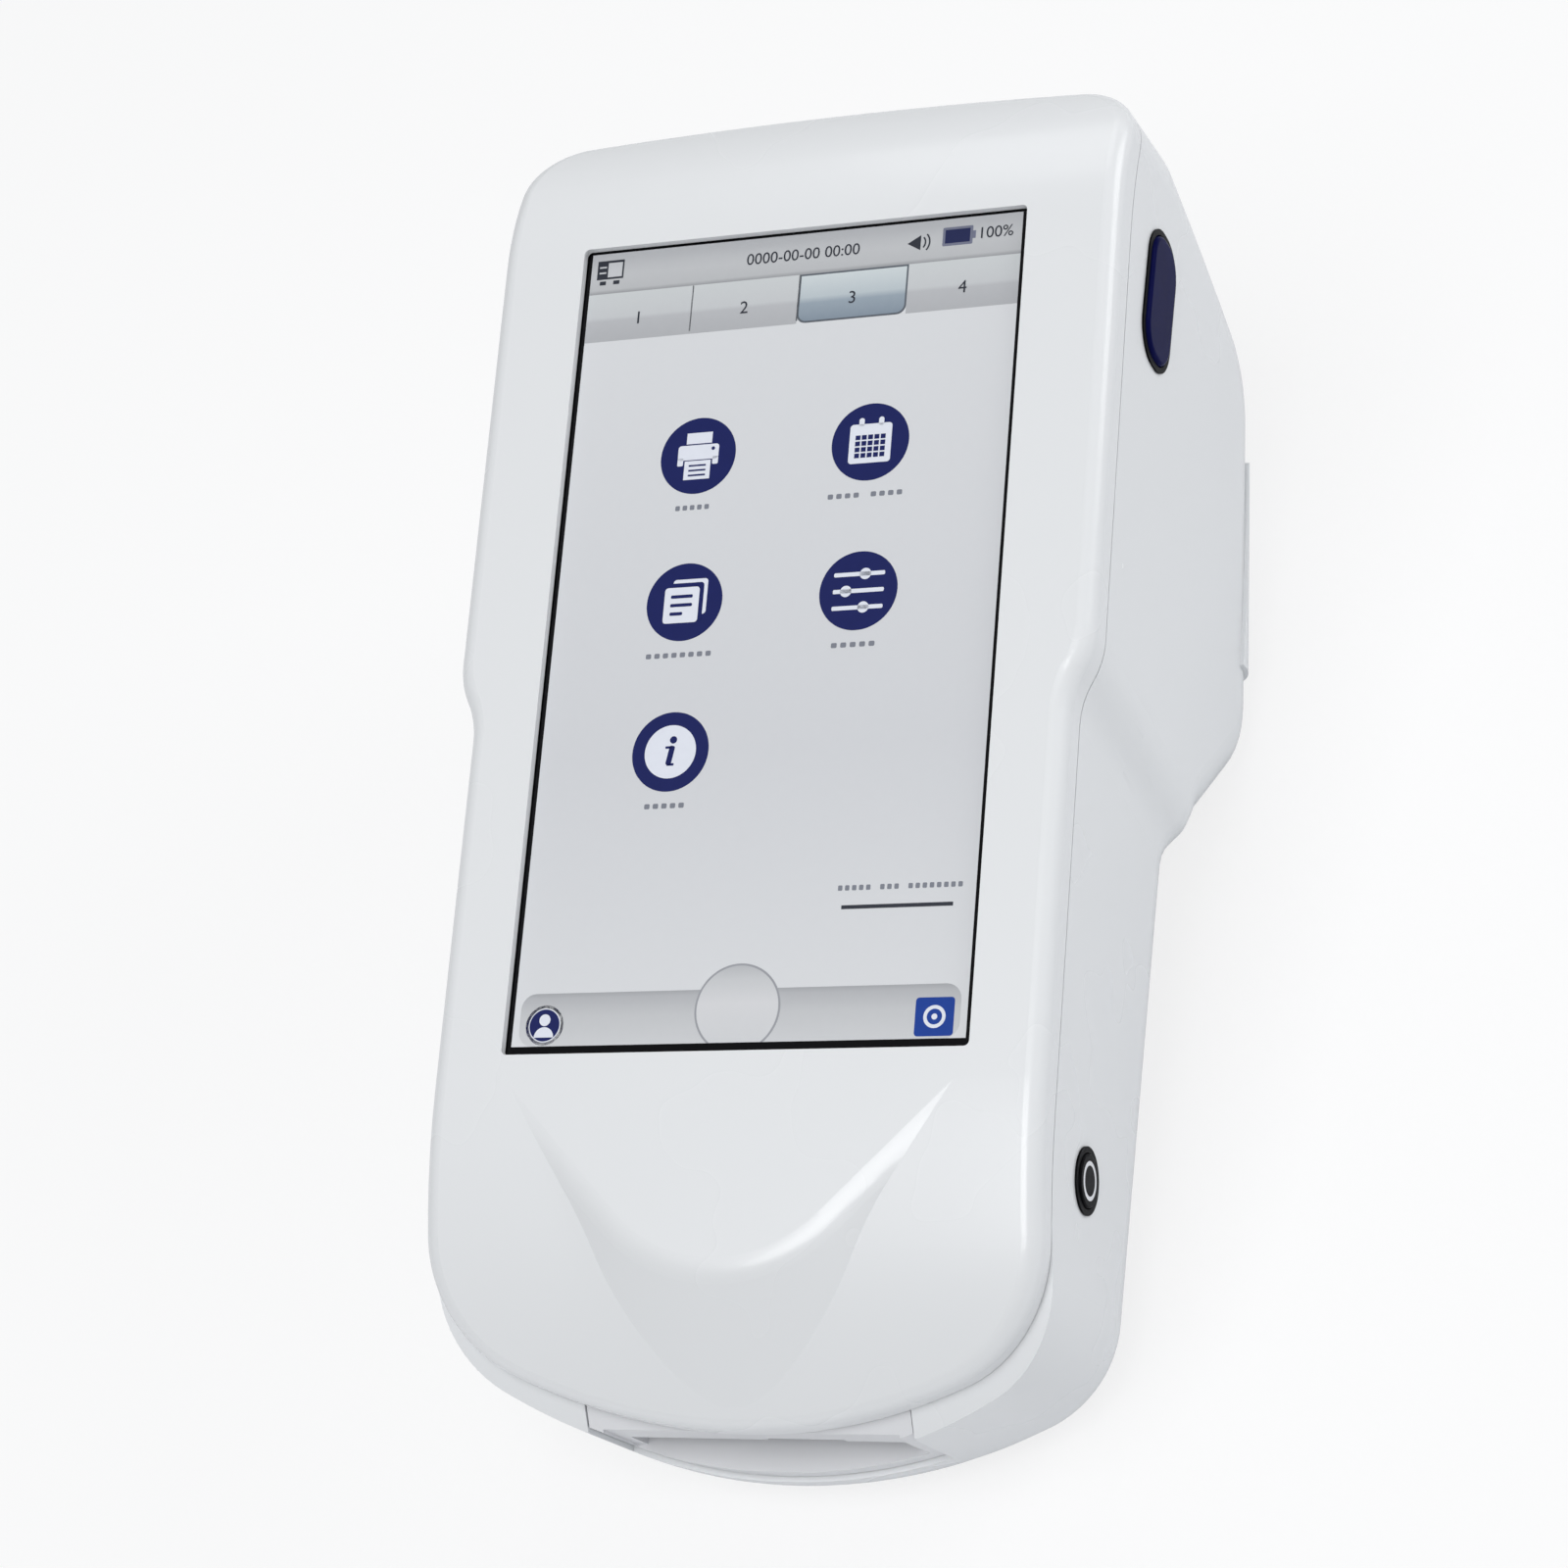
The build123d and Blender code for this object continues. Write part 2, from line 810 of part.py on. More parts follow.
grip_edge = grip_width / 2
shell_post_radius = case_head_radius + fit_gap + bay_wall
pin_half = door_half_width + door_gap + lug_width
bezel_half_y = latch_half_y + latch_rim
bezel_half_z = latch_half_z + latch_rim
rib_offset = switch_board_half_y + wall / 2
rib_inner = grip_edge - wall - flange_gap - flange_width - power_travel - switch_height - wall
latch_plane = Plane(
    origin=spot(shell_edge, latch_y, -latch_depth),
    x_dir=spot(0, cos(radians(latch_slant)), -sin(radians(latch_slant))) - spot(0, 0, 0),
    z_dir=face.x_dir,
)

# Rear shell: grip and head, with the posts, the battery bay and all the openings
with BuildPart() as rear_shell:
    add(shell_form)
    add(shell_hollow, mode=Mode.SUBTRACT)
    add(lip_ledge)
    for lug in pin_lugs:
        add(rod(lug, hinge_y, hinge_height, lug_radius))
        add(plan_block(lug, (hinge_y - lug_radius, hinge_y + lug_radius),
                       (hinge_depth, hinge_depth + hinge_lip)))
    extrude(disc(level(cover_boss_depth), case_posts, shell_post_radius), amount=-chin_depth)
    extrude(rect(back_plane.offset(wall / 2), (-bay_x - bay_wall, bay_x + bay_wall),
                 (-bay_y - bay_wall, bay_y + bay_wall)), amount=battery_front + bay_wall - wall / 2)
    for place, height in zip(foot_spots, foot_heights):
        extrude(disc(Plane.XY, [place], foot_radius + wall), amount=height + wall / 2)
    for rib_y in (power_y - rib_offset, power_y + rib_offset):
        add(side_block((rib_inner, grip_edge - wall / 2), (rib_y - wall / 2, rib_y + wall / 2),
                       (-power_depth - switch_board_half_z, switch_board_half_z - power_depth)))
    add(shell_form, mode=Mode.INTERSECT)
    extrude(rect(back_plane.offset(-wall), (-bay_x, bay_x), (-bay_y, bay_y)),
            amount=wall + battery_front + fit_gap, mode=Mode.SUBTRACT)
    extrude(rect(back_plane.offset(-wall), (-plug_x, plug_x), (-plug_y, plug_y)),
            amount=wall + plug_inner, mode=Mode.SUBTRACT)
    for place, height in zip(foot_spots, foot_heights):
        extrude(disc(Plane.XY, [place], foot_radius), amount=height, mode=Mode.SUBTRACT)
    add(door_opening_space, mode=Mode.SUBTRACT)
    add(paper_exit, mode=Mode.SUBTRACT)
    add(shell_cut, mode=Mode.SUBTRACT)
    add(port_window, mode=Mode.SUBTRACT)
    web_depth = cover_boss_depth + post_web
    extrude(disc(level(cover_boss_depth), case_posts, case_screw_radius + fit_gap), amount=-post_web,
            mode=Mode.SUBTRACT)
    extrude(disc(level(web_depth), case_posts, case_head_radius + fit_gap), amount=-chin_depth,
            mode=Mode.SUBTRACT)
    add(rod((-pin_half, pin_half), hinge_y, hinge_height, pin_radius), mode=Mode.SUBTRACT)
    add(rod((grip_edge - wall * 2, grip_width), power_y, -power_depth, power_bezel_radius),
        mode=Mode.SUBTRACT)
    extrude(rect(latch_plane, (-bezel_half_y, bezel_half_y), (-bezel_half_z, bezel_half_z),
                 latch_corner + latch_rim), amount=wall * 2, both=True, mode=Mode.SUBTRACT)
    extrude(rect(beside(-grip_edge), (socket_y - socket_half_y, socket_y + socket_half_y),
                 (-socket_depth - socket_half_z, socket_half_z - socket_depth),
                 socket_half_z * socket_round),
            amount=wall * 2, both=True, mode=Mode.SUBTRACT)
    extrude(disc(grip_plane, speaker_holes, speaker_hole_radius), amount=wall, both=True,
            mode=Mode.SUBTRACT)
rear_shell.part.label = "rear_shell"
export_step(rear_shell.part, "parts/rear_shell.step")

# Screen stack
with BuildPart() as display_gasket:
    extrude(rect(level(gasket_front), (-glass_half_x, glass_half_x), (-glass_half_y, glass_half_y),
                 glass_corner), amount=-gasket_thickness)
    window_x = glass_half_x - gasket_width
    window_y = glass_half_y - gasket_width
    extrude(rect(level(gasket_front), (-window_x, window_x), (-window_y, window_y)),
            amount=-gasket_thickness, mode=Mode.SUBTRACT)
display_gasket.part.label = "display_gasket"
export_step(display_gasket.part, "parts/display_gasket.step")

with BuildPart() as touch_glass:
    extrude(rect(level(glass_front), (-glass_half_x, glass_half_x), (-glass_half_y, glass_half_y),
                 glass_corner), amount=-glass_thickness)
touch_glass.part.label = "touch_glass"
export_step(touch_glass.part, "parts/touch_glass.step")

with BuildPart() as display_module:
    extrude(rect(level(module_front), (-module_half_x, module_half_x), (-module_half_y, module_half_y)),
            amount=-module_thickness)
display_module.part.label = "display_module"
export_step(display_module.part, "parts/display_module.step")

with BuildPart() as display_frame:
    rim_x = module_half_x + fit_gap + frame_rim
    rim_y = module_half_y + fit_gap + frame_rim
    extrude(rect(level(module_front + fit_gap), (-rim_x, rim_x), (-rim_y, rim_y)),
            amount=module_front + fit_gap - frame_back)
    extrude(rect(level(module_front), (frame_rim - rim_x, rim_x - frame_rim),
                 (frame_rim - rim_y, rim_y - frame_rim)),
            amount=module_front - frame_front, mode=Mode.SUBTRACT)
    for ear in ears:
        inner = rim_x - frame_rim if ear[0] > 0 else frame_rim - rim_x
        outer = ear[0] + ear_half if ear[0] > 0 else ear[0] - ear_half
        extrude(rect(level(frame_front), sorted((inner, outer)), (ear[1] - ear_half, ear[1] + ear_half)),
                amount=-frame_thickness)
    extrude(disc(level(frame_back), standoffs, boss_radius), amount=-standoff_height)
    extrude(disc(level(frame_front), ears, small_screw_radius + fit_gap), amount=-frame_thickness,
            mode=Mode.SUBTRACT)
    extrude(disc(level(board_front), standoffs, small_screw_radius), amount=standoff_height,
            mode=Mode.SUBTRACT)
display_frame.part.label = "display_frame"
export_step(display_frame.part, "parts/display_frame.step")


def screws(plane, centres, head_radius, head_height, shaft_radius_used, length):
    """Pan head screws seated on a plane, with their shafts along its normal."""
    with BuildPart() as group:
        extrude(disc(plane, centres, head_radius), amount=-head_height)
        extrude(disc(plane, centres, shaft_radius_used), amount=length)
        extrude(disc(plane.offset(-head_height), centres, shaft_radius_used * socket_share),
                amount=head_height / 2, mode=Mode.SUBTRACT)
    return group.part


with BuildPart() as frame_screws:
    add(screws(level(frame_back), ears, small_head_radius, small_head_height, small_screw_radius,
               small_screw_length))
frame_screws.part.label = "frame_screws"
export_step(frame_screws.part, "parts/frame_screws.step")

with BuildPart() as main_board:
    extrude(rect(level(board_front), (-board_half_width, board_half_width), (board_low, board_high),
                 board_corner), amount=-board_thickness)
    extrude(disc(level(board_front), standoffs, small_screw_radius + fit_gap), amount=-board_thickness,
            mode=Mode.SUBTRACT)
main_board.part.label = "main_board"
export_step(main_board.part, "parts/main_board.step")

with BuildPart() as board_screws:
    add(screws(level(board_back), standoffs, small_head_radius, small_head_height, small_screw_radius,
               small_screw_length))
board_screws.part.label = "board_screws"
export_step(board_screws.part, "parts/board_screws.step")

with BuildPart() as processor_shield:
    add(plan_block((shield_x - shield_half, shield_x + shield_half),
                   (shield_y - shield_half, shield_y + shield_half),
                   (board_back, board_back + shield_height), shield_corner))
processor_shield.part.label = "processor_shield"
export_step(processor_shield.part, "parts/processor_shield.step")

with BuildPart() as board_connectors:
    connector_depths = (board_back, board_back + connector_height)
    add(plan_block((drive_x - connector_length - connector_width, drive_x - connector_width),
                   (board_low + fit_gap, board_low + connector_width), connector_depths))
    add(plan_block((shield_x + shield_half + connector_width, shield_x + shield_half + 2 * connector_width),
                   (shield_y - shield_half, shield_y - shield_half + connector_length), connector_depths))
board_connectors.part.label = "board_connectors"
export_step(board_connectors.part, "parts/board_connectors.step")

with BuildPart() as case_screws:
    add(screws(level(web_depth), case_posts, case_head_radius, case_head_height, case_screw_radius,
               post_web + thread_length - fit_gap))
case_screws.part.label = "case_screws"
export_step(case_screws.part, "parts/case_screws.step")

with BuildPart() as rubber_feet:
    for place, height in zip(foot_spots, foot_heights):
        extrude(disc(Plane.XY, [place], foot_radius), amount=height)
    foot_rims = rubber_feet.edges().group_by(Axis.Z)[0]
    fillet(foot_rims, foot_round)
rubber_feet.part.label = "rubber_feet"
export_step(rubber_feet.part, "parts/rubber_feet.step")

# Battery behind its raised cover
with BuildPart() as battery_pack:
    extrude(rect(back_plane.offset(wall), (-battery_x, battery_x), (-battery_y, battery_y),
                 battery_corner), amount=battery_thickness)
battery_pack.part.label = "battery_pack"
export_step(battery_pack.part, "parts/battery_pack.step")

with BuildPart() as battery_cover:
    add(cover_layer)
    add(cover_band, mode=Mode.INTERSECT)
    extrude(rect(back_plane, (fit_gap - plug_x, plug_x - fit_gap), (fit_gap - plug_y, plug_y - fit_gap)),
            amount=plug_inner)
battery_cover.part.label = "battery_cover"
export_step(battery_cover.part, "parts/battery_cover.step")

# Cartridge port in the tail
with BuildPart() as port_frame:
    add(port_block)
    add(port_outline, mode=Mode.INTERSECT)
    add(shell_form, mode=Mode.INTERSECT)
    add(port_cut, mode=Mode.SUBTRACT)
    add(plan_block((-slot_half_width, slot_half_width), (-port_back, -jaw_reach),
                   (port_floor_depth - slot_height, port_floor_depth)), mode=Mode.SUBTRACT)
    add(plan_block((-mouth_half_width, mouth_half_width), (-mouth_start, -jaw_reach),
                   (0, port_floor_depth)), mode=Mode.SUBTRACT)
    add(plan_block((key_start, key_end), (-port_back, -jaw_reach),
                   (port_floor_depth - slot_height - key_height, port_floor_depth)), mode=Mode.SUBTRACT)
port_frame.part.label = "port_frame"
export_step(port_frame.part, "parts/port_frame.step")

# Cartridge bed with its heater, contacts and sensor
bed_start = fit_gap - port_back
bed_floor = port_floor_depth
with BuildPart() as cartridge_bed:
    add(plan_block((-bed_half_width, bed_half_width), (bed_start, bed_end),
                   (bed_floor - bed_rail_height, bed_floor + bed_thickness)))
    add(plan_block((-slot_half_width, slot_half_width), (bed_start, bed_end - bed_rail),
                   (0, bed_floor)), mode=Mode.SUBTRACT)
    add(plan_block((-heater_half_width, heater_half_width),
                   (contact_y - contact_length, contact_y + contact_length),
                   (bed_floor, bed_floor + heater_thickness)), mode=Mode.SUBTRACT)
    for leg_y in (bed_start + bed_front_leg, bed_end - bed_leg):
        extrude(disc(level(bed_floor + bed_thickness), pairs(bed_half_width - bed_leg, leg_y), boss_radius),
                amount=-chin_depth)
    add(shell_hollow, mode=Mode.INTERSECT)
cartridge_bed.part.label = "cartridge_bed"
export_step(cartridge_bed.part, "parts/cartridge_bed.step")

with BuildPart() as heater_plate:
    add(plan_block((-heater_half_width, heater_half_width),
                   (contact_y - contact_length, contact_y + contact_length),
                   (bed_floor + heater_sink, bed_floor + heater_thickness)))
heater_plate.part.label = "heater_plate"
export_step(heater_plate.part, "parts/heater_plate.step")

contact_half = contact_length / 2
with BuildPart() as contact_block:
    add(plan_block((-bed_half_width, bed_half_width), (contact_y - contact_half, contact_y + contact_half),
                   (contact_roof, contact_floor)))
    for side in (1, -1):
        add(plan_block(sorted((side * slot_half_width, side * bed_half_width)),
                       (contact_y - contact_half, contact_y + contact_half),
                       (contact_floor, bed_floor - bed_rail_height)))
contact_block.part.label = "contact_block"
export_step(contact_block.part, "parts/contact_block.step")

contact_places = [((index - (pin_count - 1) / 2) * pin_pitch, contact_y) for index in range(pin_count)]
with BuildPart() as contact_pins:
    extrude(disc(level(contact_floor), contact_places, contact_pin_radius), amount=-contact_pin_reach)
contact_pins.part.label = "contact_pins"
export_step(contact_pins.part, "parts/contact_pins.step")

# Pusher that presses the calibration pouch of a cartridge
motor_start = bed_end
motor_face = across(motor_start)
carriage_low = contact_y + contact_half + carriage_gap
with BuildPart() as drive_bracket:
    add(plan_block((-bed_half_width, bed_half_width), (bed_end - bed_rail, bed_end),
                   (drive_depth - drive_motor_radius, bed_floor - bed_rail_height)))
    extrude(disc(motor_face, [(drive_x, -drive_depth)], screw_radius + running_gap), amount=bed_rail,
            mode=Mode.SUBTRACT)
    extrude(disc(motor_face, [(-drive_x, -drive_depth)], rod_radius), amount=bed_rail,
            mode=Mode.SUBTRACT)
drive_bracket.part.label = "drive_bracket"
export_step(drive_bracket.part, "parts/drive_bracket.step")

with BuildPart() as drive_motor:
    extrude(disc(motor_face, [(drive_x, -drive_depth)], drive_motor_radius), amount=-drive_motor_length)
    extrude(disc(motor_face, [(drive_x, -drive_depth)], stub_radius + pin_clearance),
            amount=-stub_length - running_gap, mode=Mode.SUBTRACT)
drive_motor.part.label = "drive_motor"
export_step(drive_motor.part, "parts/drive_motor.step")

rail_length = motor_start - carriage_low + carriage_gap / 2
with BuildPart() as lead_screw:
    screw_face = across(motor_start - running_gap)
    extrude(disc(screw_face, [(drive_x, -drive_depth)], screw_radius), amount=rail_length - running_gap)
    extrude(disc(screw_face, [(drive_x, -drive_depth)], stub_radius), amount=-stub_length)
lead_screw.part.label = "lead_screw"
export_step(lead_screw.part, "parts/lead_screw.step")

with BuildPart() as guide_rod:
    extrude(disc(motor_face, [(-drive_x, -drive_depth)], rod_radius), amount=rail_length)
guide_rod.part.label = "guide_rod"
export_step(guide_rod.part, "parts/guide_rod.step")

with BuildPart() as pusher_carriage:
    carriage_ys = (carriage_low, carriage_low + carriage_length)
    add(plan_block((-carriage_half_width, carriage_half_width), carriage_ys,
                   (drive_depth - carriage_rise, drive_depth + carriage_rise)))
    add(plan_block((-plunger_half_width, plunger_half_width), carriage_ys,
                   (drive_depth + carriage_rise, bed_floor - slot_height)))
    carriage_face = across(carriage_low + carriage_length)
    extrude(disc(carriage_face, [(drive_x, -drive_depth)], screw_radius + running_gap),
            amount=carriage_length, mode=Mode.SUBTRACT)
    extrude(disc(carriage_face, [(-drive_x, -drive_depth)], rod_radius + running_gap),
            amount=carriage_length, mode=Mode.SUBTRACT)
pusher_carriage.part.label = "pusher_carriage"
export_step(pusher_carriage.part, "parts/pusher_carriage.step")

# Speaker against the back of the grip
with BuildPart() as speaker:
    extrude(disc(grip_plane.offset(wall), [(0, 0)], speaker_radius), amount=speaker_thickness / 2)
    extrude(disc(grip_plane.offset(wall), [(0, 0)], speaker_magnet_radius), amount=speaker_thickness)
speaker.part.label = "speaker"
export_step(speaker.part, "parts/speaker.step")

# Charging socket in the left wall of the grip
with BuildPart() as charging_socket:
    half_y = socket_half_y - running_gap
    half_z = socket_half_z - running_gap
    middle = (socket_y, -socket_depth)
    extrude(rect(beside(-grip_edge), (middle[0] - half_y, middle[0] + half_y),
                 (middle[1] - half_z, middle[1] + half_z), half_z * socket_round), amount=socket_reach)
    extrude(rect(beside(-grip_edge), (middle[0] - half_y + socket_wall, middle[0] + half_y - socket_wall),
                 (middle[1] - half_z + socket_wall, middle[1] + half_z - socket_wall),
                 half_z * socket_inner_round),
            amount=socket_reach - socket_wall, mode=Mode.SUBTRACT)
    extrude(rect(beside(socket_wall - grip_edge), (middle[0] - half_y / 2, middle[0] + half_y / 2),
                 (middle[1] - socket_wall, middle[1] + socket_wall)), amount=socket_reach - socket_wall)
charging_socket.part.label = "charging_socket"
export_step(charging_socket.part, "parts/charging_socket.step")

# Power button on the right of the grip
power_axis = [(power_y, -power_depth)]
bezel_inner = grip_edge - wall
with BuildPart() as power_bezel:
    extrude(ring(beside(bezel_inner), power_axis, power_bezel_radius, power_cap_radius + running_gap),
            amount=wall + bezel_proud)
power_bezel.part.label = "power_bezel"
export_step(power_bezel.part, "parts/power_bezel.step")

with BuildPart() as power_button:
    extrude(disc(beside(bezel_inner - flange_gap), power_axis, power_cap_radius),
            amount=wall + flange_gap + cap_proud)
    cap_rim = power_button.edges().sort_by(Axis.X)[-1]
    fillet(cap_rim, bezel_proud)
    extrude(disc(beside(bezel_inner - flange_gap), power_axis, power_bezel_radius - running_gap),
            amount=-flange_width)
    extrude(ring(beside(grip_edge + cap_proud), power_axis, power_trim_radius,
                 power_trim_radius - power_trim_width), amount=-bezel_proud, mode=Mode.SUBTRACT)
power_button.part.label = "power_button"
export_step(power_button.part, "parts/power_button.step")

with BuildPart() as power_trim:
    extrude(ring(beside(grip_edge + cap_proud), power_axis, power_trim_radius,
                 power_trim_radius - power_trim_width), amount=-bezel_proud)
power_trim.part.label = "power_trim"
export_step(power_trim.part, "parts/power_trim.step")

flange_back = bezel_inner - flange_gap - flange_width
switch_top = flange_back - power_travel
switch_face = switch_top - switch_height
with BuildPart() as power_switch:
    extrude(rect(beside(switch_face), (power_y - switch_half, power_y + switch_half),
                 (-power_depth - switch_half, switch_half - power_depth)), amount=switch_case_height)
    extrude(disc(beside(switch_face), power_axis, switch_half / 2), amount=switch_height)
power_switch.part.label = "power_switch"
export_step(power_switch.part, "parts/power_switch.step")

with BuildPart() as switch_board:
    extrude(rect(beside(switch_face), (power_y - switch_board_half_y, power_y + switch_board_half_y),
                 (-power_depth - switch_board_half_z, switch_board_half_z - power_depth)),
            amount=-switch_board_thickness)
switch_board.part.label = "switch_board"
export_step(switch_board.part, "parts/switch_board.step")

with BuildPart() as power_spring:
    extrude(ring(beside(switch_face), power_axis, power_bezel_radius - 2 * running_gap,
                 power_bezel_radius - 2 * running_gap - spring_wire), amount=flange_back - switch_face)
power_spring.part.label = "power_spring"
export_step(power_spring.part, "parts/power_spring.step")

# Latch button in the right side of the head, with the bar that frees the paper door
flange_x = shell_edge - wall - flange_gap
with BuildPart() as latch_bezel:
    extrude(rect(latch_plane.offset(-wall), (-bezel_half_y, bezel_half_y), (-bezel_half_z, bezel_half_z),
                 latch_corner + latch_rim), amount=wall + bezel_proud)
    extrude(rect(latch_plane, (-latch_half_y - running_gap, latch_half_y + running_gap),
                 (-latch_half_z - running_gap, latch_half_z + running_gap), latch_corner + running_gap),
            amount=wall, both=True, mode=Mode.SUBTRACT)
latch_bezel.part.label = "latch_bezel"
export_step(latch_bezel.part, "parts/latch_bezel.step")

with BuildPart() as latch_button:
    extrude(rect(latch_plane.offset(latch_dome), (-latch_half_y, latch_half_y),
                 (-latch_half_z, latch_half_z), latch_corner), amount=-latch_dome - wall - flange_gap)
    dome_rim = latch_button.edges().group_by(Axis.X)[-1]
    fillet(dome_rim, latch_dome_round)
latch_button.part.label = "latch_button"
export_step(latch_button.part, "parts/latch_button.step")

arm_x = flange_x - arm_reach
arm_low = latch_y + spring_clear
arm_high = latch_y + latch_half_y * arm_length_share
lug_outer = door_half_width - running_gap
lug_inner = lug_outer - hook_wall
tip_end = lug_inner - flange_gap
head_end_x = tip_end - hook_overlap
nose_end = head_end_x - flange_gap
nose_start = nose_end - hook_wall
hook_zs = (-hook_depth - hook_half_height, hook_half_height - hook_depth)
arm_zs = (-latch_depth - latch_half_z * arm_height_share, -latch_depth)
bar_high = hook_y - flange_gap
tip_start = hook_y + hook_head + flange_gap
with BuildPart() as latch_bar:
    flange_y = latch_half_y + latch_flange
    flange_z = latch_half_z + latch_flange
    extrude(rect(latch_plane.offset(flange_x - shell_edge), (-flange_y, flange_y), (-flange_z, flange_z),
                 latch_corner), amount=-hook_wall)
    add(side_block((arm_x, flange_x - hook_wall), (arm_low, arm_high), arm_zs))
    add(side_block((arm_x, arm_x + hook_wall), (arm_low, arm_high), (hook_zs[0], arm_zs[1])))
    add(side_block((arm_x, arm_x + hook_wall), (arm_low, bar_high), hook_zs))
    add(side_block((nose_start, arm_x + hook_wall), (bar_high - hook_bar, bar_high), hook_zs))
    add(side_block((nose_start, nose_end), (bar_high - hook_bar, tip_start + hook_tip), hook_zs))
    add(side_block((nose_start, tip_end), (tip_start, tip_start + hook_tip), hook_zs))
latch_bar.part.label = "latch_bar"
export_step(latch_bar.part, "parts/latch_bar.step")

plate_outer = frame_inner + frame_plate
with BuildPart() as latch_spring:
    extrude(ring(beside(plate_outer), [(latch_spring_y, -latch_depth)], latch_spring_radius,
                 latch_spring_radius - spring_wire), amount=flange_x - hook_wall - plate_outer)
latch_spring.part.label = "latch_spring"
export_step(latch_spring.part, "parts/latch_spring.step")

# Paper door over the end of the head
barrels = [(side * barrel_x - barrel_width / 2, side * barrel_x + barrel_width / 2) for side in (1, -1)]
barrel_solids = [rod(span, hinge_y, hinge_height, barrel_radius) for span in barrels]
barrel_webs = [
    plan_block(span, (hinge_y - barrel_radius, hinge_y + barrel_radius),
               (hinge_depth, hinge_depth + hinge_lip))
    for span in barrels
]
catch_zs = (hook_zs[0] - flange_gap, hook_zs[1] + flange_gap)
catch_stem = side_block((lug_inner, lug_outer), (hook_y, head_end), catch_zs)
catch_head = side_block((head_end_x, lug_outer), (hook_y, hook_y + hook_head), catch_zs)
pin_holes = rod((-door_half_width, door_half_width), hinge_y, hinge_height, pin_radius + pin_clearance)
with BuildPart() as paper_door:
    add(shell_form)
    add(shell_hollow, mode=Mode.SUBTRACT)
    for piece in barrel_solids + barrel_webs:
        add(piece)
    add(catch_stem)
    add(catch_head)
    add(shell_form, mode=Mode.INTERSECT)
    add(door_closed_space, mode=Mode.INTERSECT)
    add(pin_holes, mode=Mode.SUBTRACT)
paper_door.part.label = "paper_door"
export_step(paper_door.part, "parts/paper_door.step")

with BuildPart() as door_pin:
    add(rod((-pin_half, pin_half), hinge_y, hinge_height, pin_radius))
door_pin.part.label = "door_pin"
export_step(door_pin.part, "parts/door_pin.step")

# Thermal printer: frame, platen, head, gear train and paper
platen_height = -platen_depth
roll_height = -roll_depth
platen_pitch = gear_module * platen_teeth / 2
idler_pitch = gear_module * idler_teeth / 2
pinion_pitch = gear_module * pinion_teeth / 2
platen_way = radians(idler_direction)
idler_y = platen_y - (platen_pitch + idler_pitch) * cos(platen_way)
idler_height = platen_height - (platen_pitch + idler_pitch) * sin(platen_way)
pinion_direction = idler_direction - idler_steps * 360 / idler_teeth
pinion_way = radians(pinion_direction)
pinion_y = idler_y + (idler_pitch + pinion_pitch) * cos(pinion_way)
pinion_height = idler_height + (idler_pitch + pinion_pitch) * sin(pinion_way)
motor_face_x = gear_start - 4 * running_gap - frame_plate


def side_plate(x):
    """Side plate of the printer, from its inner face outwards by its thickness."""
    with BuildSketch(beside(x)) as outline:
        with BuildLine():
            Polyline(
                (plate_low, -plate_top_depth),
                (plate_shoulder, -plate_top_depth),
                (head_low, -printer_top),
                (plate_high, -printer_top),
                (plate_high, -plate_end_depth),
                (plate_heel, -plate_heel_depth),
                (plate_waist, -plate_waist_depth),
                (plate_foot, -plate_foot_depth),
                (plate_low, -plate_foot_depth),
                close=True,
            )
        make_face()
    return extrude(outline.sketch, amount=frame_plate, mode=Mode.PRIVATE)


def tooth_point(teeth, radius, side):
    """Point on the flank of a gear tooth, on one side of its middle line."""
    pitch = gear_module * teeth / 2
    slope = radians(pressure_angle)
    turn = acos(min(1, pitch * cos(slope) / radius))
    half = (pi * gear_module / 2 - gear_backlash) / (2 * pitch)
    half += tan(slope) - slope - tan(turn) + turn
    return (radius * cos(half), side * radius * sin(half))


def gear(centre, teeth, bore, direction):
    """Spur gear across the body with one tooth pointing in the given direction."""
    pitch = gear_module * teeth / 2
    root = pitch - gear_dedendum
    tip = pitch + gear_addendum
    low = max(root, pitch * cos(radians(pressure_angle)))
    feet = [tooth_point(teeth, low, side) for side in (1, -1)]
    middles = [tooth_point(teeth, pitch, side) for side in (1, -1)]
    tips = [tooth_point(teeth, tip, side) for side in (1, -1)]
    inner = root - gear_module
    with BuildSketch() as tooth:
        with BuildLine():
            ThreePointArc(feet[0], middles[0], tips[0])
            ThreePointArc(tips[0], (tip, 0), tips[1])
            ThreePointArc(tips[1], middles[1], feet[1])
            Polyline(feet[1], (inner, feet[1][1]), (inner, feet[0][1]), feet[0])
        make_face()
    with BuildSketch(beside(gear_start)) as profile:
        with Locations(centre):
            Circle(root)
            with PolarLocations(0, teeth, start_angle=direction):
                add(tooth.sketch)
            Circle(bore, mode=Mode.SUBTRACT)
    return extrude(profile.sketch, amount=gear_width, mode=Mode.PRIVATE)


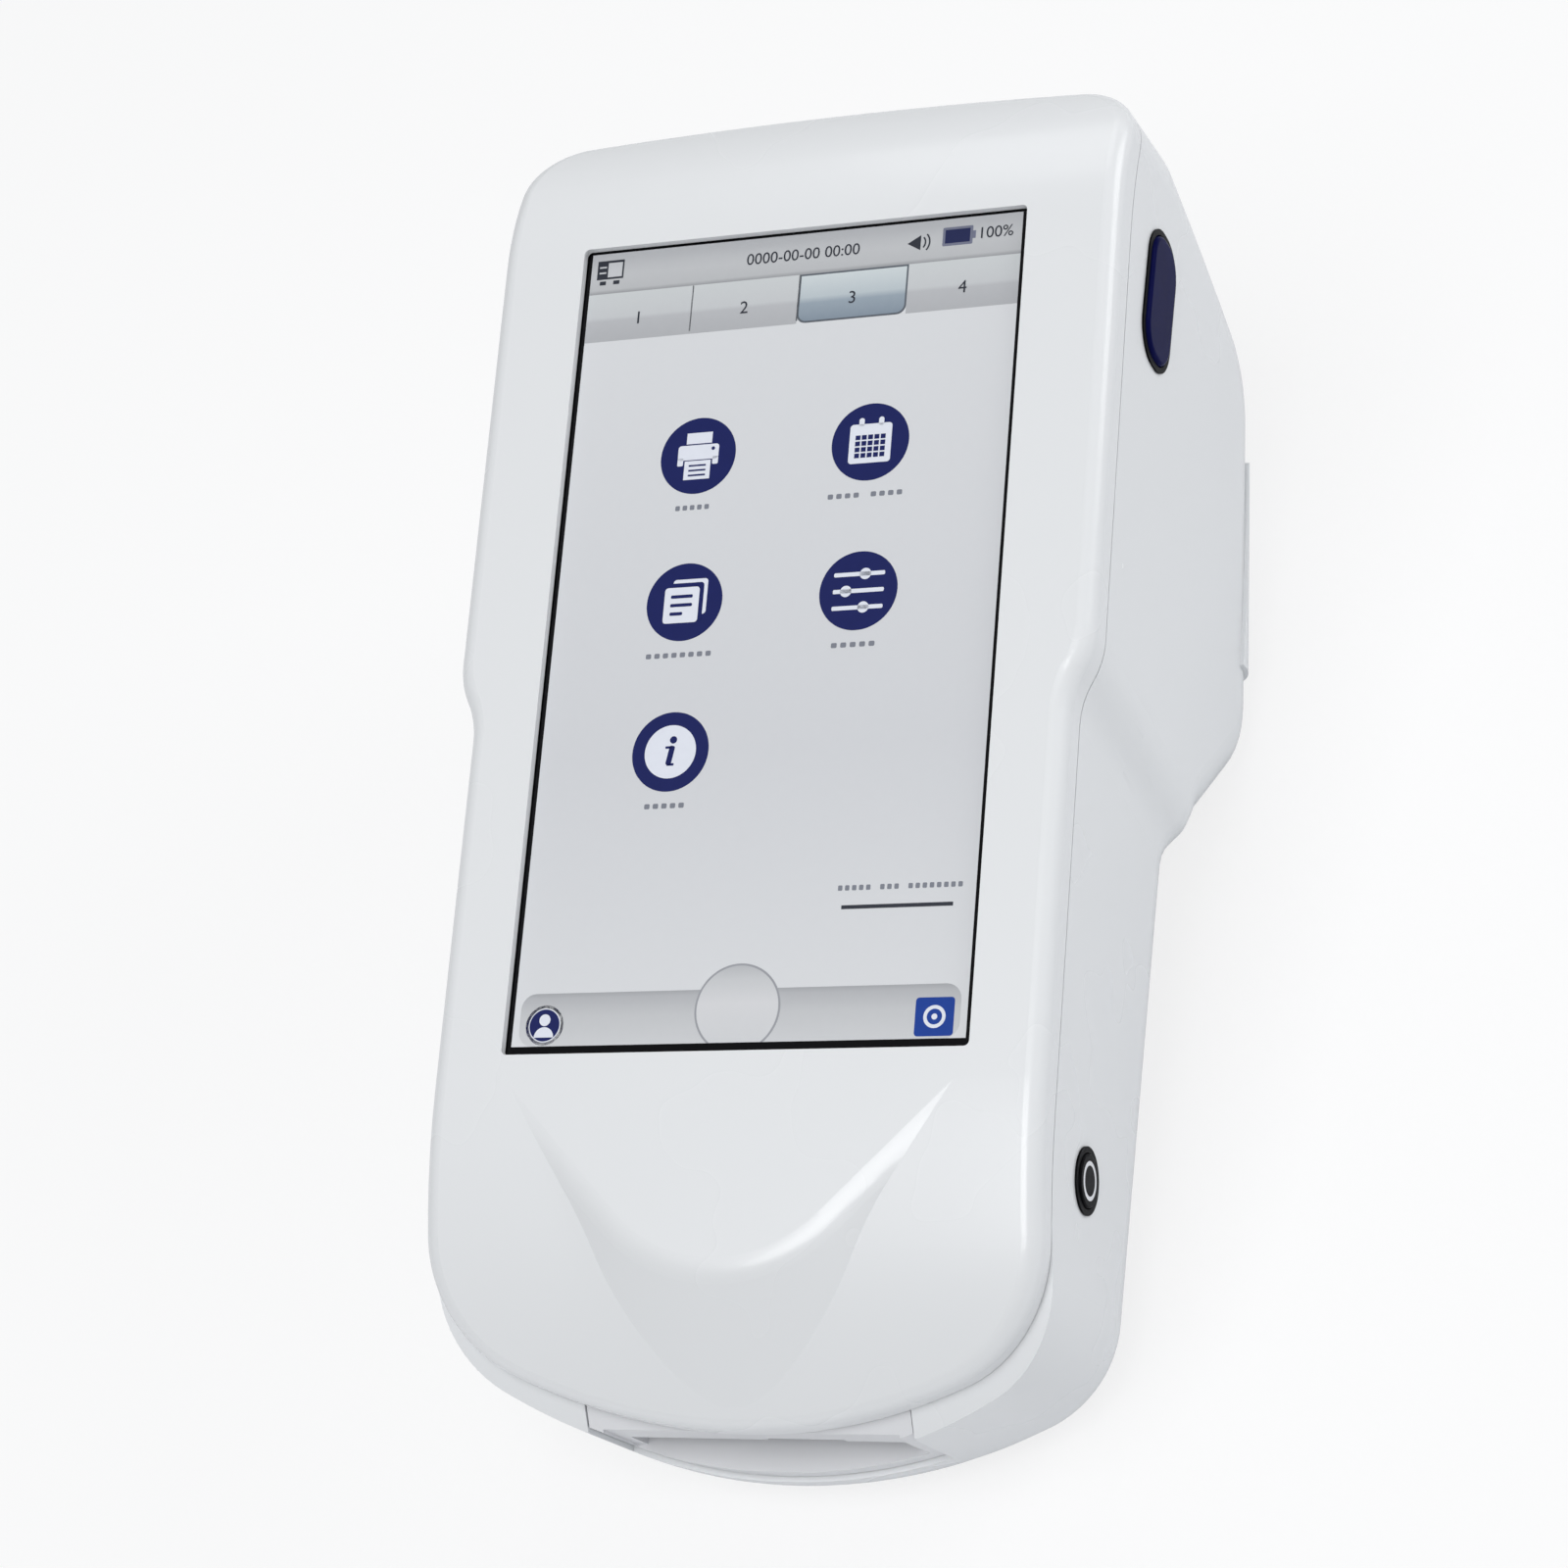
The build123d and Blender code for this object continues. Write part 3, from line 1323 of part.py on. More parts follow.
with BuildPart() as printer_frame:
    add(side_plate(-frame_inner - frame_plate))
    add(side_plate(frame_inner))
    motor_plate_zs = (-motor_plate_depth, -plate_top_depth)
    add(plan_block((-frame_inner, frame_inner), (bar_low, bar_high_end),
                   (printer_top, printer_top + frame_plate)))
    add(side_block((motor_face_x, motor_face_x + frame_plate), (plate_low, motor_plate_end),
                   motor_plate_zs))
    add(side_block((motor_face_x, -frame_inner), (plate_low, plate_low + frame_plate), motor_plate_zs))
    add(rod((-pin_half, pin_half), platen_y, platen_height, shaft_radius + pin_clearance),
        mode=Mode.SUBTRACT)
    add(rod((-pin_half, 0), idler_y, idler_height, idler_pin_radius), mode=Mode.SUBTRACT)
    add(rod((-pin_half, -frame_inner), pinion_y, pinion_height, pinion_pitch), mode=Mode.SUBTRACT)
    add(rod((-pin_half, pin_half), roll_y, roll_height, spool_radius + pin_clearance),
        mode=Mode.SUBTRACT)
    add(side_block((-pin_half, pin_half), (roll_y - spool_entry, roll_y + spool_entry),
                   (-chin_depth, roll_height)), mode=Mode.SUBTRACT)
    extrude(disc(level(printer_top), printer_bosses, small_screw_radius + fit_gap), amount=-frame_plate,
            mode=Mode.SUBTRACT)
printer_frame.part.label = "printer_frame"
export_step(printer_frame.part, "parts/printer_frame.step")

with BuildPart() as printer_screws:
    add(screws(level(printer_top + frame_plate), printer_bosses, small_head_radius, small_head_height,
               small_screw_radius, small_screw_length))
printer_screws.part.label = "printer_screws"
export_step(printer_screws.part, "parts/printer_screws.step")

with BuildPart() as print_head:
    head_face = platen_depth - platen_radius - head_gap
    add(plan_block((-frame_inner, frame_inner), (head_low, plate_high),
                   (head_face - head_thickness, head_face)))
print_head.part.label = "print_head"
export_step(print_head.part, "parts/print_head.step")

with BuildPart() as platen_shaft:
    add(rod((gear_start, plate_outer + spool_side), platen_y, platen_height, shaft_radius))
platen_shaft.part.label = "platen_shaft"
export_step(platen_shaft.part, "parts/platen_shaft.step")

with BuildPart() as platen_roller:
    add(rod((-platen_length / 2, platen_length / 2), platen_y, platen_height, platen_radius))
    add(rod((-platen_length / 2, platen_length / 2), platen_y, platen_height, shaft_radius),
        mode=Mode.SUBTRACT)
platen_roller.part.label = "platen_roller"
export_step(platen_roller.part, "parts/platen_roller.step")

with BuildPart() as platen_gear:
    platen_gear_turn = idler_direction + 180 + 180 / platen_teeth
    add(gear((platen_y, platen_height), platen_teeth, shaft_radius, platen_gear_turn))
platen_gear.part.label = "platen_gear"
export_step(platen_gear.part, "parts/platen_gear.step")

with BuildPart() as idler_gear:
    add(gear((idler_y, idler_height), idler_teeth, idler_pin_radius + pin_clearance, idler_direction))
idler_gear.part.label = "idler_gear"
export_step(idler_gear.part, "parts/idler_gear.step")

with BuildPart() as idler_pin:
    add(rod((motor_face_x, -frame_inner), idler_y, idler_height, idler_pin_radius))
idler_pin.part.label = "idler_pin"
export_step(idler_pin.part, "parts/idler_pin.step")

with BuildPart() as motor_pinion:
    pinion_turn = pinion_direction + 180 + 180 / pinion_teeth
    add(gear((pinion_y, pinion_height), pinion_teeth, stub_radius, pinion_turn))
    add(rod((motor_face_x - stub_length, gear_start + gear_width), pinion_y, pinion_height, stub_radius))
motor_pinion.part.label = "motor_pinion"
export_step(motor_pinion.part, "parts/motor_pinion.step")

with BuildPart() as printer_motor:
    add(rod((motor_face_x - motor_length, motor_face_x), pinion_y, pinion_height, motor_radius))
    add(rod((motor_face_x - stub_length - running_gap, motor_face_x), pinion_y, pinion_height,
            stub_radius + pin_clearance), mode=Mode.SUBTRACT)
printer_motor.part.label = "printer_motor"
export_step(printer_motor.part, "parts/printer_motor.step")

with BuildPart() as paper_spool:
    spool_half = roll_width / 2 + spool_side
    add(rod((-spool_half, spool_half), roll_y, roll_height, core_radius))
    add(rod((-plate_outer - fit_gap, plate_outer + fit_gap), roll_y, roll_height, spool_radius))
paper_spool.part.label = "paper_spool"
export_step(paper_spool.part, "parts/paper_spool.step")

with BuildPart() as paper_roll:
    add(rod((-roll_width / 2, roll_width / 2), roll_y, roll_height, roll_radius_full))
    add(rod((-roll_width / 2, roll_width / 2), roll_y, roll_height, core_radius), mode=Mode.SUBTRACT)
paper_roll.part.label = "paper_roll"
export_step(paper_roll.part, "parts/paper_roll.step")
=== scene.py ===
"""Finishes, screen picture and stage of a handheld electrolyte analyzer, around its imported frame."""

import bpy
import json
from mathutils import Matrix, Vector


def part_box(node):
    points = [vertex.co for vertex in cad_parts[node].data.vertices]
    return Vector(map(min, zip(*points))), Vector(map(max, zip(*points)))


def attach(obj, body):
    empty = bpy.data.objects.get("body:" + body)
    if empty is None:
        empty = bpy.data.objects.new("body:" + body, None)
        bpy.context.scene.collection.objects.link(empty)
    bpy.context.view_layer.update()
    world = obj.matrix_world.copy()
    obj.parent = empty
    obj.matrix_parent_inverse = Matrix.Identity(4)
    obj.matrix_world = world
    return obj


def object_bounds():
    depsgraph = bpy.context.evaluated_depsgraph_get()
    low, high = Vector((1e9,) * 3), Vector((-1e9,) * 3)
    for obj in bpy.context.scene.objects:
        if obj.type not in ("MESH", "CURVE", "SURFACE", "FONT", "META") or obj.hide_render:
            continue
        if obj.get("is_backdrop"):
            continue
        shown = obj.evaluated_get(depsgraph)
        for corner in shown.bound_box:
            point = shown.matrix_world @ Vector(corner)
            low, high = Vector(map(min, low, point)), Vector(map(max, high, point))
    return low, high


bl_info = {
    "name": "Electrolyte Analyzer",
    "version": (1, 0, 0),
    "blender": (4, 5, 0),
    "location": "3D View > Sidebar > Analyzer",
    "description": "Dresses a handheld electrolyte analyzer with its finishes and its screen picture",
    "category": "Object",
}

import json
from math import cos, pi, radians, sin, tau

import bmesh
import bpy
from bpy.props import FloatProperty, FloatVectorProperty, PointerProperty
from mathutils import Euler, Matrix, Vector

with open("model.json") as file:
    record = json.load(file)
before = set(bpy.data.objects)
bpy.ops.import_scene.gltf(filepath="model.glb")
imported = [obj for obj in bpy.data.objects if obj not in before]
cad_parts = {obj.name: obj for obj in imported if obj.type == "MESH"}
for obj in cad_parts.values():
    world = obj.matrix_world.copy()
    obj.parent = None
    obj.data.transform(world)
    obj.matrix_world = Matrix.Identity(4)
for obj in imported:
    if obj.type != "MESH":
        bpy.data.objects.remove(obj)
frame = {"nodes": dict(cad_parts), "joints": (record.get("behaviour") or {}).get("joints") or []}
frame_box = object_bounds()

MM = 0.001
HOUSING = "housing"
# Sockets of a colour mix
COLOUR_A = 6
COLOUR_B = 7
COLOUR_OUT = 2
# Share of its own white that the floor shows to the camera
FLOOR_GLOW = 0.78
# One mark of a row, as shares of the pitch and of the row's height
MARK_WIDTH = 0.62
MARK_HEIGHT = 0.5
MARK_CORNER = 0.14


def face_frame():
    """Frame on the front of the glass: x to the right, y towards the head, z out of the face."""
    slide = next(joint for joint in frame["joints"] if joint["name"] == "pusher_slide")
    right = Vector((1, 0, 0))
    up = Vector(slide["axis"]).normalized()
    out = right.cross(up)
    low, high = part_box("touch_glass")
    middle = (low + high) / 2
    front = max(out.dot(vertex.co) for vertex in frame["nodes"]["touch_glass"].data.vertices)
    origin = middle + out * (front - out.dot(middle))
    return Matrix.Translation(origin) @ Matrix((right, up, out)).transposed().to_4x4()


face = face_frame()


def tone(red, green, blue):
    """Linear colour of a screen colour given in steps of 255."""
    steps = [part / 255 for part in (red, green, blue)]
    return [part / 12.92 if part < 0.04045 else ((part + 0.055) / 1.055) ** 2.4 for part in steps]


def colour(name, description, default):
    """Colour setting."""
    return FloatVectorProperty(
        name=name, description=description, default=default, subtype="COLOR", size=3, min=0, max=1
    )


def length(name, description, millimetres):
    """Length setting, given in millimetres."""
    return FloatProperty(
        name=name, description=description, default=millimetres * MM, unit="LENGTH", precision=5
    )


class FinishSettings(bpy.types.PropertyGroup):
    """Colours of the case and of what it holds."""

    case_white: colour("Case white", "Glossy white of the shells", tone(232, 234, 236))
    port_white: colour("Port white", "Satin white of the cartridge port", tone(226, 227, 230))
    button_blue: colour("Button blue", "Navy of the door button", tone(14, 17, 66))
    button_black: colour("Button black", "Black of the power button and the bezels", tone(14, 14, 17))
    inner_grey: colour("Inner grey", "Grey of gears, bed and carriage", tone(150, 152, 156))
    glass_black: colour("Glass black", "Black mask round the picture", tone(6, 6, 8))
    board_green: colour("Board green", "Lacquer of the circuit boards", tone(20, 92, 52))
    copper: colour("Copper", "Tracks under the lacquer", tone(52, 128, 74))
    gold: colour("Gold", "Contact pins", tone(222, 178, 92))
    paper: colour("Paper", "Thermal paper", tone(240, 240, 236))
    card: colour("Card", "Core of the paper roll", tone(166, 130, 90))
    ceramic: colour("Ceramic", "Print head", tone(226, 220, 204))
    wrap: colour("Wrap", "Shrink wrap of the battery", tone(40, 52, 78))


class ScreenSettings(bpy.types.PropertyGroup):
    """Sizes and colours of the screen picture."""

    width: length("Width", "Width of the picture", 67.7)
    height: length("Height", "Height of the picture", 121.2)
    shift_x: length("Shift across", "Middle of the picture, across", -0.18)
    shift_y: length("Shift up", "Middle of the picture, up", 0.58)
    layer: length("Layer", "Thickness of one layer of the picture", 0.02)
    status_height: length("Status bar", "Height of the status bar", 6.5)
    tab_height: length("Tabs", "Height of the tabs", 7.7)
    disc_radius: length("Disc", "Radius of a round symbol", 5.9)
    column_gap: length("Columns", "Distance between the two columns of symbols", 26.7)
    row_pitch: length("Rows", "Distance between the rows of symbols", 22.5)
    first_row: length("First row", "Height of the first row of symbols", 27.5)
    bar_height: length("Bottom bar", "Height of the bar at the bottom", 7.6)
    dome_radius: length("Dome", "Radius of the round button on the bottom bar", 6.4)
    ground_light: colour("Ground light", "Lightest grey of the picture", tone(219, 221, 224))
    ground_dark: colour("Ground dark", "Darkest grey of the picture", tone(210, 212, 216))
    navy: colour("Navy", "Round symbols", tone(26, 34, 92))
    blue: colour("Blue", "Square symbol", tone(22, 62, 150))
    white: colour("White", "Marks on the round symbols", tone(226, 230, 240))
    ink: colour("Ink", "Numbers and lines", tone(52, 55, 64))
    faint_ink: colour("Faint ink", "Rows of marks under the symbols", tone(128, 132, 142))


class StageSettings(bpy.types.PropertyGroup):
    """Camera, lamps and floor."""

    camera_place: FloatVectorProperty(
        name="Camera place", description="Camera, from the middle of the glass", subtype="TRANSLATION",
        unit="LENGTH", default=(225.776 * MM, -194.407 * MM, 499.345 * MM),
    )
    camera_turn: FloatVectorProperty(
        name="Camera turn", description="Turn of the camera against the face", subtype="EULER",
        default=(radians(19.3956), radians(22.3959), radians(5.0383)),
    )
    lens: FloatProperty(
        name="Lens", description="Focal length for a 36 mm sensor", default=94.695, unit="CAMERA"
    )
    floor_size: length("Floor", "Side of the square floor", 6000)
    floor_white: colour("Floor", "Colour of the floor", tone(240, 241, 243))
    sky_light: FloatProperty(name="Sky", description="Strength of the light from all sides", default=0.34)
    key_light: FloatProperty(name="Key", description="Power of the main lamp", default=5.7, unit="POWER")
    side_light: FloatProperty(name="Side", description="Power of the side lamp", default=2.8, unit="POWER")
    top_light: FloatProperty(
        name="Top", description="Power of the lamp at the head", default=1.2, unit="POWER"
    )


class Reading:
    """Output of a node, on which sums can be written."""

    def __init__(self, finish, socket):
        self.finish = finish
        self.socket = socket

    def maths(self, operation, first, second):
        """One sum of two values."""
        return self.finish.node("ShaderNodeMath", {"operation": operation}, {0: first, 1: second})

    def __add__(self, other):
        return self.maths("ADD", self, other)

    def __radd__(self, other):
        return self.maths("ADD", other, self)

    def __sub__(self, other):
        return self.maths("SUBTRACT", self, other)

    def __rsub__(self, other):
        return self.maths("SUBTRACT", other, self)

    def __mul__(self, other):
        return self.maths("MULTIPLY", self, other)

    def __rmul__(self, other):
        return self.maths("MULTIPLY", other, self)

    def __truediv__(self, other):
        return self.maths("DIVIDE", self, other)

    def __gt__(self, other):
        return self.maths("GREATER_THAN", self, other)


class Web:
    """Nodes of a material or of the sky."""

    def __init__(self, tree):
        self.tree = tree

    def node(self, kind, settings=None, inputs=None, output=0):
        """Adds a node, sets it up and returns one of its outputs."""
        made = self.tree.nodes.new(kind)
        for setting, value in (settings or {}).items():
            if setting == "stops":
                self.set_stops(made.color_ramp.elements, value)
            else:
                setattr(made, setting, value)
        for name, value in (inputs or {}).items():
            self.join(made.inputs[name], value)
        return Reading(self, made.outputs[output])

    def set_stops(self, elements, stops):
        """Places the stops of a colour ramp."""
        while len(elements) < len(stops):
            elements.new(1)
        for element, (position, shade) in zip(elements, stops):
            element.position = position
            element.color = (*shade, 1)

    def join(self, socket, value):
        """Feeds a socket from a reading, or sets it."""
        if isinstance(value, Reading):
            self.tree.links.new(value.socket, socket)
        elif socket.type == "RGBA":
            socket.default_value = (*value, 1)
        else:
            socket.default_value = value


class Finish(Web):
    """Material made of nodes round one surface shader."""

    def __init__(self, name, **surface):
        self.material = bpy.data.materials.new(name)
        self.material.use_nodes = True
        super().__init__(self.material.node_tree)
        self.surface = self.tree.nodes["Principled BSDF"]
        self.place = self.node("ShaderNodeTexCoord", output="Object")
        for setting, value in surface.items():
            self.give(setting.replace("_", " ").title().replace("Ior", "IOR"), value)

    def give(self, name, value):
        """Feeds or sets a socket of the surface shader."""
        self.join(self.surface.inputs[name], value)

    def noise(self, size, detail=2, stretch=(1, 1, 1)):
        """Cloudy pattern with spots of the given size."""
        place = self.place
        if stretch != (1, 1, 1):
            place = self.node("ShaderNodeMapping", {}, {"Vector": place, "Scale": stretch})
        return self.node("ShaderNodeTexNoise", {}, {"Vector": place, "Scale": 1 / size, "Detail": detail})

    def cells(self, size, feature="F1"):
        """Pattern of cells of the given size."""
        return self.node(
            "ShaderNodeTexVoronoi", {"feature": feature}, {"Vector": self.place, "Scale": 1 / size}
        )

    def blend(self, factor, first, second):
        """Colour between two colours."""
        inputs = {0: factor, COLOUR_A: first, COLOUR_B: second}
        return self.node("ShaderNodeMix", {"data_type": "RGBA"}, inputs, COLOUR_OUT)

    def rough(self, low, high, pattern):
        """Roughness between two values, after a pattern."""
        self.give("Roughness", low + pattern * (high - low))

    def bump(self, pattern, depth, strength=1.0):
        """Relief after a pattern."""
        inputs = {"Strength": strength, "Distance": depth, "Height": pattern}
        self.give("Normal", self.node("ShaderNodeBump", {}, inputs))

    def along(self, way, origin):
        """Distance along a direction from a point."""
        dot = self.node(
            "ShaderNodeVectorMath", {"operation": "DOT_PRODUCT"}, {0: self.place, 1: way}, "Value"
        )
        return dot - way.dot(origin)

    def face_ramp(self, low, high, stops):
        """Colours that change up the face, from one height to another."""
        rise = self.along(face.col[1].xyz, face.translation)
        return self.node("ShaderNodeValToRGB", {"stops": stops}, {0: (rise - low) / (high - low)})


def settings():
    """Settings of the case finishes."""
    return bpy.context.scene.analyzer_finish


def screen():
    """Settings of the screen picture."""
    return bpy.context.scene.analyzer_screen


def shaded(base, factor):
    """Colour made darker or lighter."""
    return [min(part * factor, 1) for part in base]


def white_finish(name, base, gloss):
    """Moulded white plastic: faint clouding and slightly uneven gloss."""
    finish = Finish(name, specular_ior_level=0.5, coat_weight=0.2, coat_roughness=0.1)
    clouds = finish.noise(60 * MM)
    finish.give("Base Color", finish.blend(clouds, shaded(base, 0.994), shaded(base, 1.004)))
    finish.rough(gloss, gloss + 0.06, finish.noise(30 * MM, 2))
    return finish.material


def moulded_finish(name, base, gloss, shine):
    """Moulded plastic with a fine spark texture."""
    finish = Finish(name, specular_ior_level=shine)
    clouds = finish.noise(14 * MM, 3)
    finish.give("Base Color", finish.blend(clouds, shaded(base, 0.86), shaded(base, 1.12)))
    finish.rough(gloss, gloss + 0.14, finish.noise(2.2 * MM, 4))
    finish.bump(finish.noise(0.35 * MM, 2), 0.02 * MM, 0.6)
    return finish.material


def blue_finish(name, base):
    """Polished navy plastic."""
    finish = Finish(name, specular_ior_level=0.01)
    clouds = finish.noise(7 * MM)
    finish.give("Base Color", finish.blend(clouds, shaded(base, 0.8), shaded(base, 1.3)))
    finish.rough(0.14, 0.24, finish.noise(3 * MM, 4))
    finish.bump(finish.noise(0.7 * MM), 0.01 * MM, 0.4)
    return finish.material


def glass_finish(name, base):
    """Black mask behind glass, with faint wipe marks in its gloss."""
    finish = Finish(name, specular_ior_level=0.2)
    wipes = finish.noise(16 * MM, 5, (1, 3, 1))
    finish.give("Base Color", finish.blend(wipes, base, shaded(base, 1.8)))
    finish.rough(0.06, 0.16, wipes)
    return finish.material


def metal_finish(name, base, gloss, drawn=(1, 14, 14), depth=0.006):
    """Metal with drawn or rolled lines along its length."""
    finish = Finish(name, metallic=1.0)
    lines = finish.noise(3 * MM, 5, drawn)
    clouds = finish.noise(11 * MM, 3)
    shade = lines * 0.6 + clouds * 0.4
    finish.give("Base Color", finish.blend(shade, shaded(base, 0.82), shaded(base, 1.1)))
    finish.rough(gloss, gloss + 0.18, lines)
    finish.bump(lines, depth * MM, 0.7)
    return finish.material


def foam_finish(name):
    """Open-cell foam."""
    finish = Finish(name, specular_ior_level=0.2)
    cells = finish.cells(0.45 * MM)
    finish.give("Base Color", finish.blend(cells, tone(14, 14, 15), tone(46, 46, 48)))
    finish.rough(0.85, 0.98, cells)
    finish.bump(cells, 0.08 * MM)
    return finish.material


def rubber_finish(name):
    """Dull black rubber with a fine grain and a little bloom."""
    finish = Finish(name, specular_ior_level=0.35)
    bloom = finish.noise(5 * MM, 5)
    finish.give("Base Color", finish.blend(bloom, tone(22, 22, 24), tone(48, 48, 50)))
    finish.rough(0.55, 0.8, bloom)
    finish.bump(finish.noise(0.25 * MM, 2), 0.02 * MM, 0.7)
    return finish.material


def board_finish(name, lacquer, copper):
    """Lacquered board with tracks that run in blocks and small bare pads."""
    finish = Finish(name, specular_ior_level=0.5, coat_weight=0.4, coat_roughness=0.15)
    tracks = finish.node(
        "ShaderNodeTexBrick", {"offset": 0.3, "squash": 0.7},
        {"Vector": finish.place, "Scale": 1 / (9 * MM), "Mortar Size": 0.035, "Mortar Smooth": 0.1}, "Fac",
    )
    pads = finish.cells(2.4 * MM)
    ground = finish.blend(pads, lacquer, shaded(lacquer, 0.7))
    finish.give("Base Color", finish.blend(tracks, ground, copper))
    finish.rough(0.25, 0.4, finish.noise(6 * MM, 3))
    finish.bump(tracks, 0.03 * MM, 0.8)
    return finish.material


def pin_finish(name, base):
    """Gold plate with a little wear."""
    finish = Finish(name, metallic=1.0)
    wear = finish.noise(1.2 * MM, 4)
    finish.give("Base Color", finish.blend(wear, shaded(base, 0.85), shaded(base, 1.1)))
    finish.rough(0.16, 0.3, wear)
    return finish.material


def wound_finish(name, base, node, pitch):
    """Paper or card wound on a roll, with its turns on the end faces."""
    finish = Finish(name, specular_ior_level=0.3)
    low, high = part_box(node)
    middle = (low + high) / 2
    across = finish.along(Vector((0, 1, 0)), middle)
    rise = finish.along(Vector((0, 0, 1)), middle)
    reach = finish.node("ShaderNodeMath", {"operation": "SQRT"}, {0: across * across + rise * rise})
    turns = finish.node("ShaderNodeMath", {"operation": "PINGPONG"}, {0: reach, 1: pitch}) / pitch
    fibres = finish.noise(1.6 * MM, 5)
    shade = turns * 0.5 + fibres * 0.5
    finish.give("Base Color", finish.blend(shade, shaded(base, 0.88), shaded(base, 1.04)))
    finish.rough(0.75, 0.9, fibres)
    finish.bump(turns * 0.7 + fibres * 0.3, 0.04 * MM, 0.6)
    return finish.material


def ceramic_finish(name, base):
    """Fired ceramic with faint specks."""
    finish = Finish(name, specular_ior_level=0.5)
    specks = finish.cells(0.8 * MM)
    finish.give("Base Color", finish.blend(specks, shaded(base, 1.03), shaded(base, 0.9)))
    finish.rough(0.3, 0.45, finish.noise(3 * MM, 3))
    finish.bump(specks, 0.01 * MM, 0.4)
    return finish.material


def wrap_finish(name, base):
    """Shrink wrap drawn over cells, slightly wrinkled."""
    finish = Finish(name, specular_ior_level=0.5, coat_weight=0.6, coat_roughness=0.2)
    wrinkles = finish.noise(7 * MM, 3, (3, 1, 1))
    finish.give("Base Color", finish.blend(wrinkles, shaded(base, 0.8), shaded(base, 1.2)))
    finish.rough(0.25, 0.42, wrinkles)
    finish.bump(wrinkles, 0.12 * MM, 0.7)
    return finish.material


def display_finish(name):
    """Pressed metal back of the display, with a faint rolled grain."""
    return metal_finish(name, tone(190, 193, 198), 0.3, (14, 1, 14), 0.004)


def case_finishes():
    """Finish for each material slot of the record."""
    given = settings()
    return {
        "white_plastic": white_finish("white_plastic_finish", given.case_white, 0.24),
        "black_plastic": moulded_finish("black_plastic_finish", given.button_black, 0.3, 0.03),
        "blue_plastic": blue_finish("blue_plastic_finish", given.button_blue),
        "grey_plastic": moulded_finish("grey_plastic_finish", given.inner_grey, 0.45, 0.4),
        "screen_glass": glass_finish("glass_mask_finish", given.glass_black),
        "display": display_finish("display_back_finish"),
        "foam": foam_finish("foam_finish"),
        "rubber": rubber_finish("rubber_finish"),
        "steel": metal_finish("steel_finish", tone(196, 198, 202), 0.26),
        "silver_trim": metal_finish("silver_trim_finish", tone(226, 227, 230), 0.08, (1, 1, 1), 0.002),
        "gold": pin_finish("gold_finish", given.gold),
        "aluminium": metal_finish("aluminium_finish", tone(212, 214, 217), 0.34, (10, 1, 10), 0.005),
        "board_green": board_finish("board_finish", given.board_green, given.copper),
        "paper": wound_finish("paper_finish", given.paper, "paper_roll", 0.35 * MM),
        "card": wound_finish("card_finish", given.card, "paper_spool", 0.6 * MM),
        "ceramic": ceramic_finish("ceramic_finish", given.ceramic),
        "battery_wrap": wrap_finish("battery_wrap_finish", given.wrap),
    }


class ANALYZER_OT_finish_case(bpy.types.Operator):
    """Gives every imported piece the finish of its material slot"""

    bl_idname = "analyzer.finish_case"
    bl_label = "Finish the case and what it holds"

    def execute(self, context):
        finishes = case_finishes()
        port = white_finish("port_white_finish", settings().port_white, 0.36)
        for name, piece in frame["nodes"].items():
            for slot in piece.material_slots:
                slot.material = port if name == "port_frame" else finishes[slot.material.name]
        return {"FINISHED"}


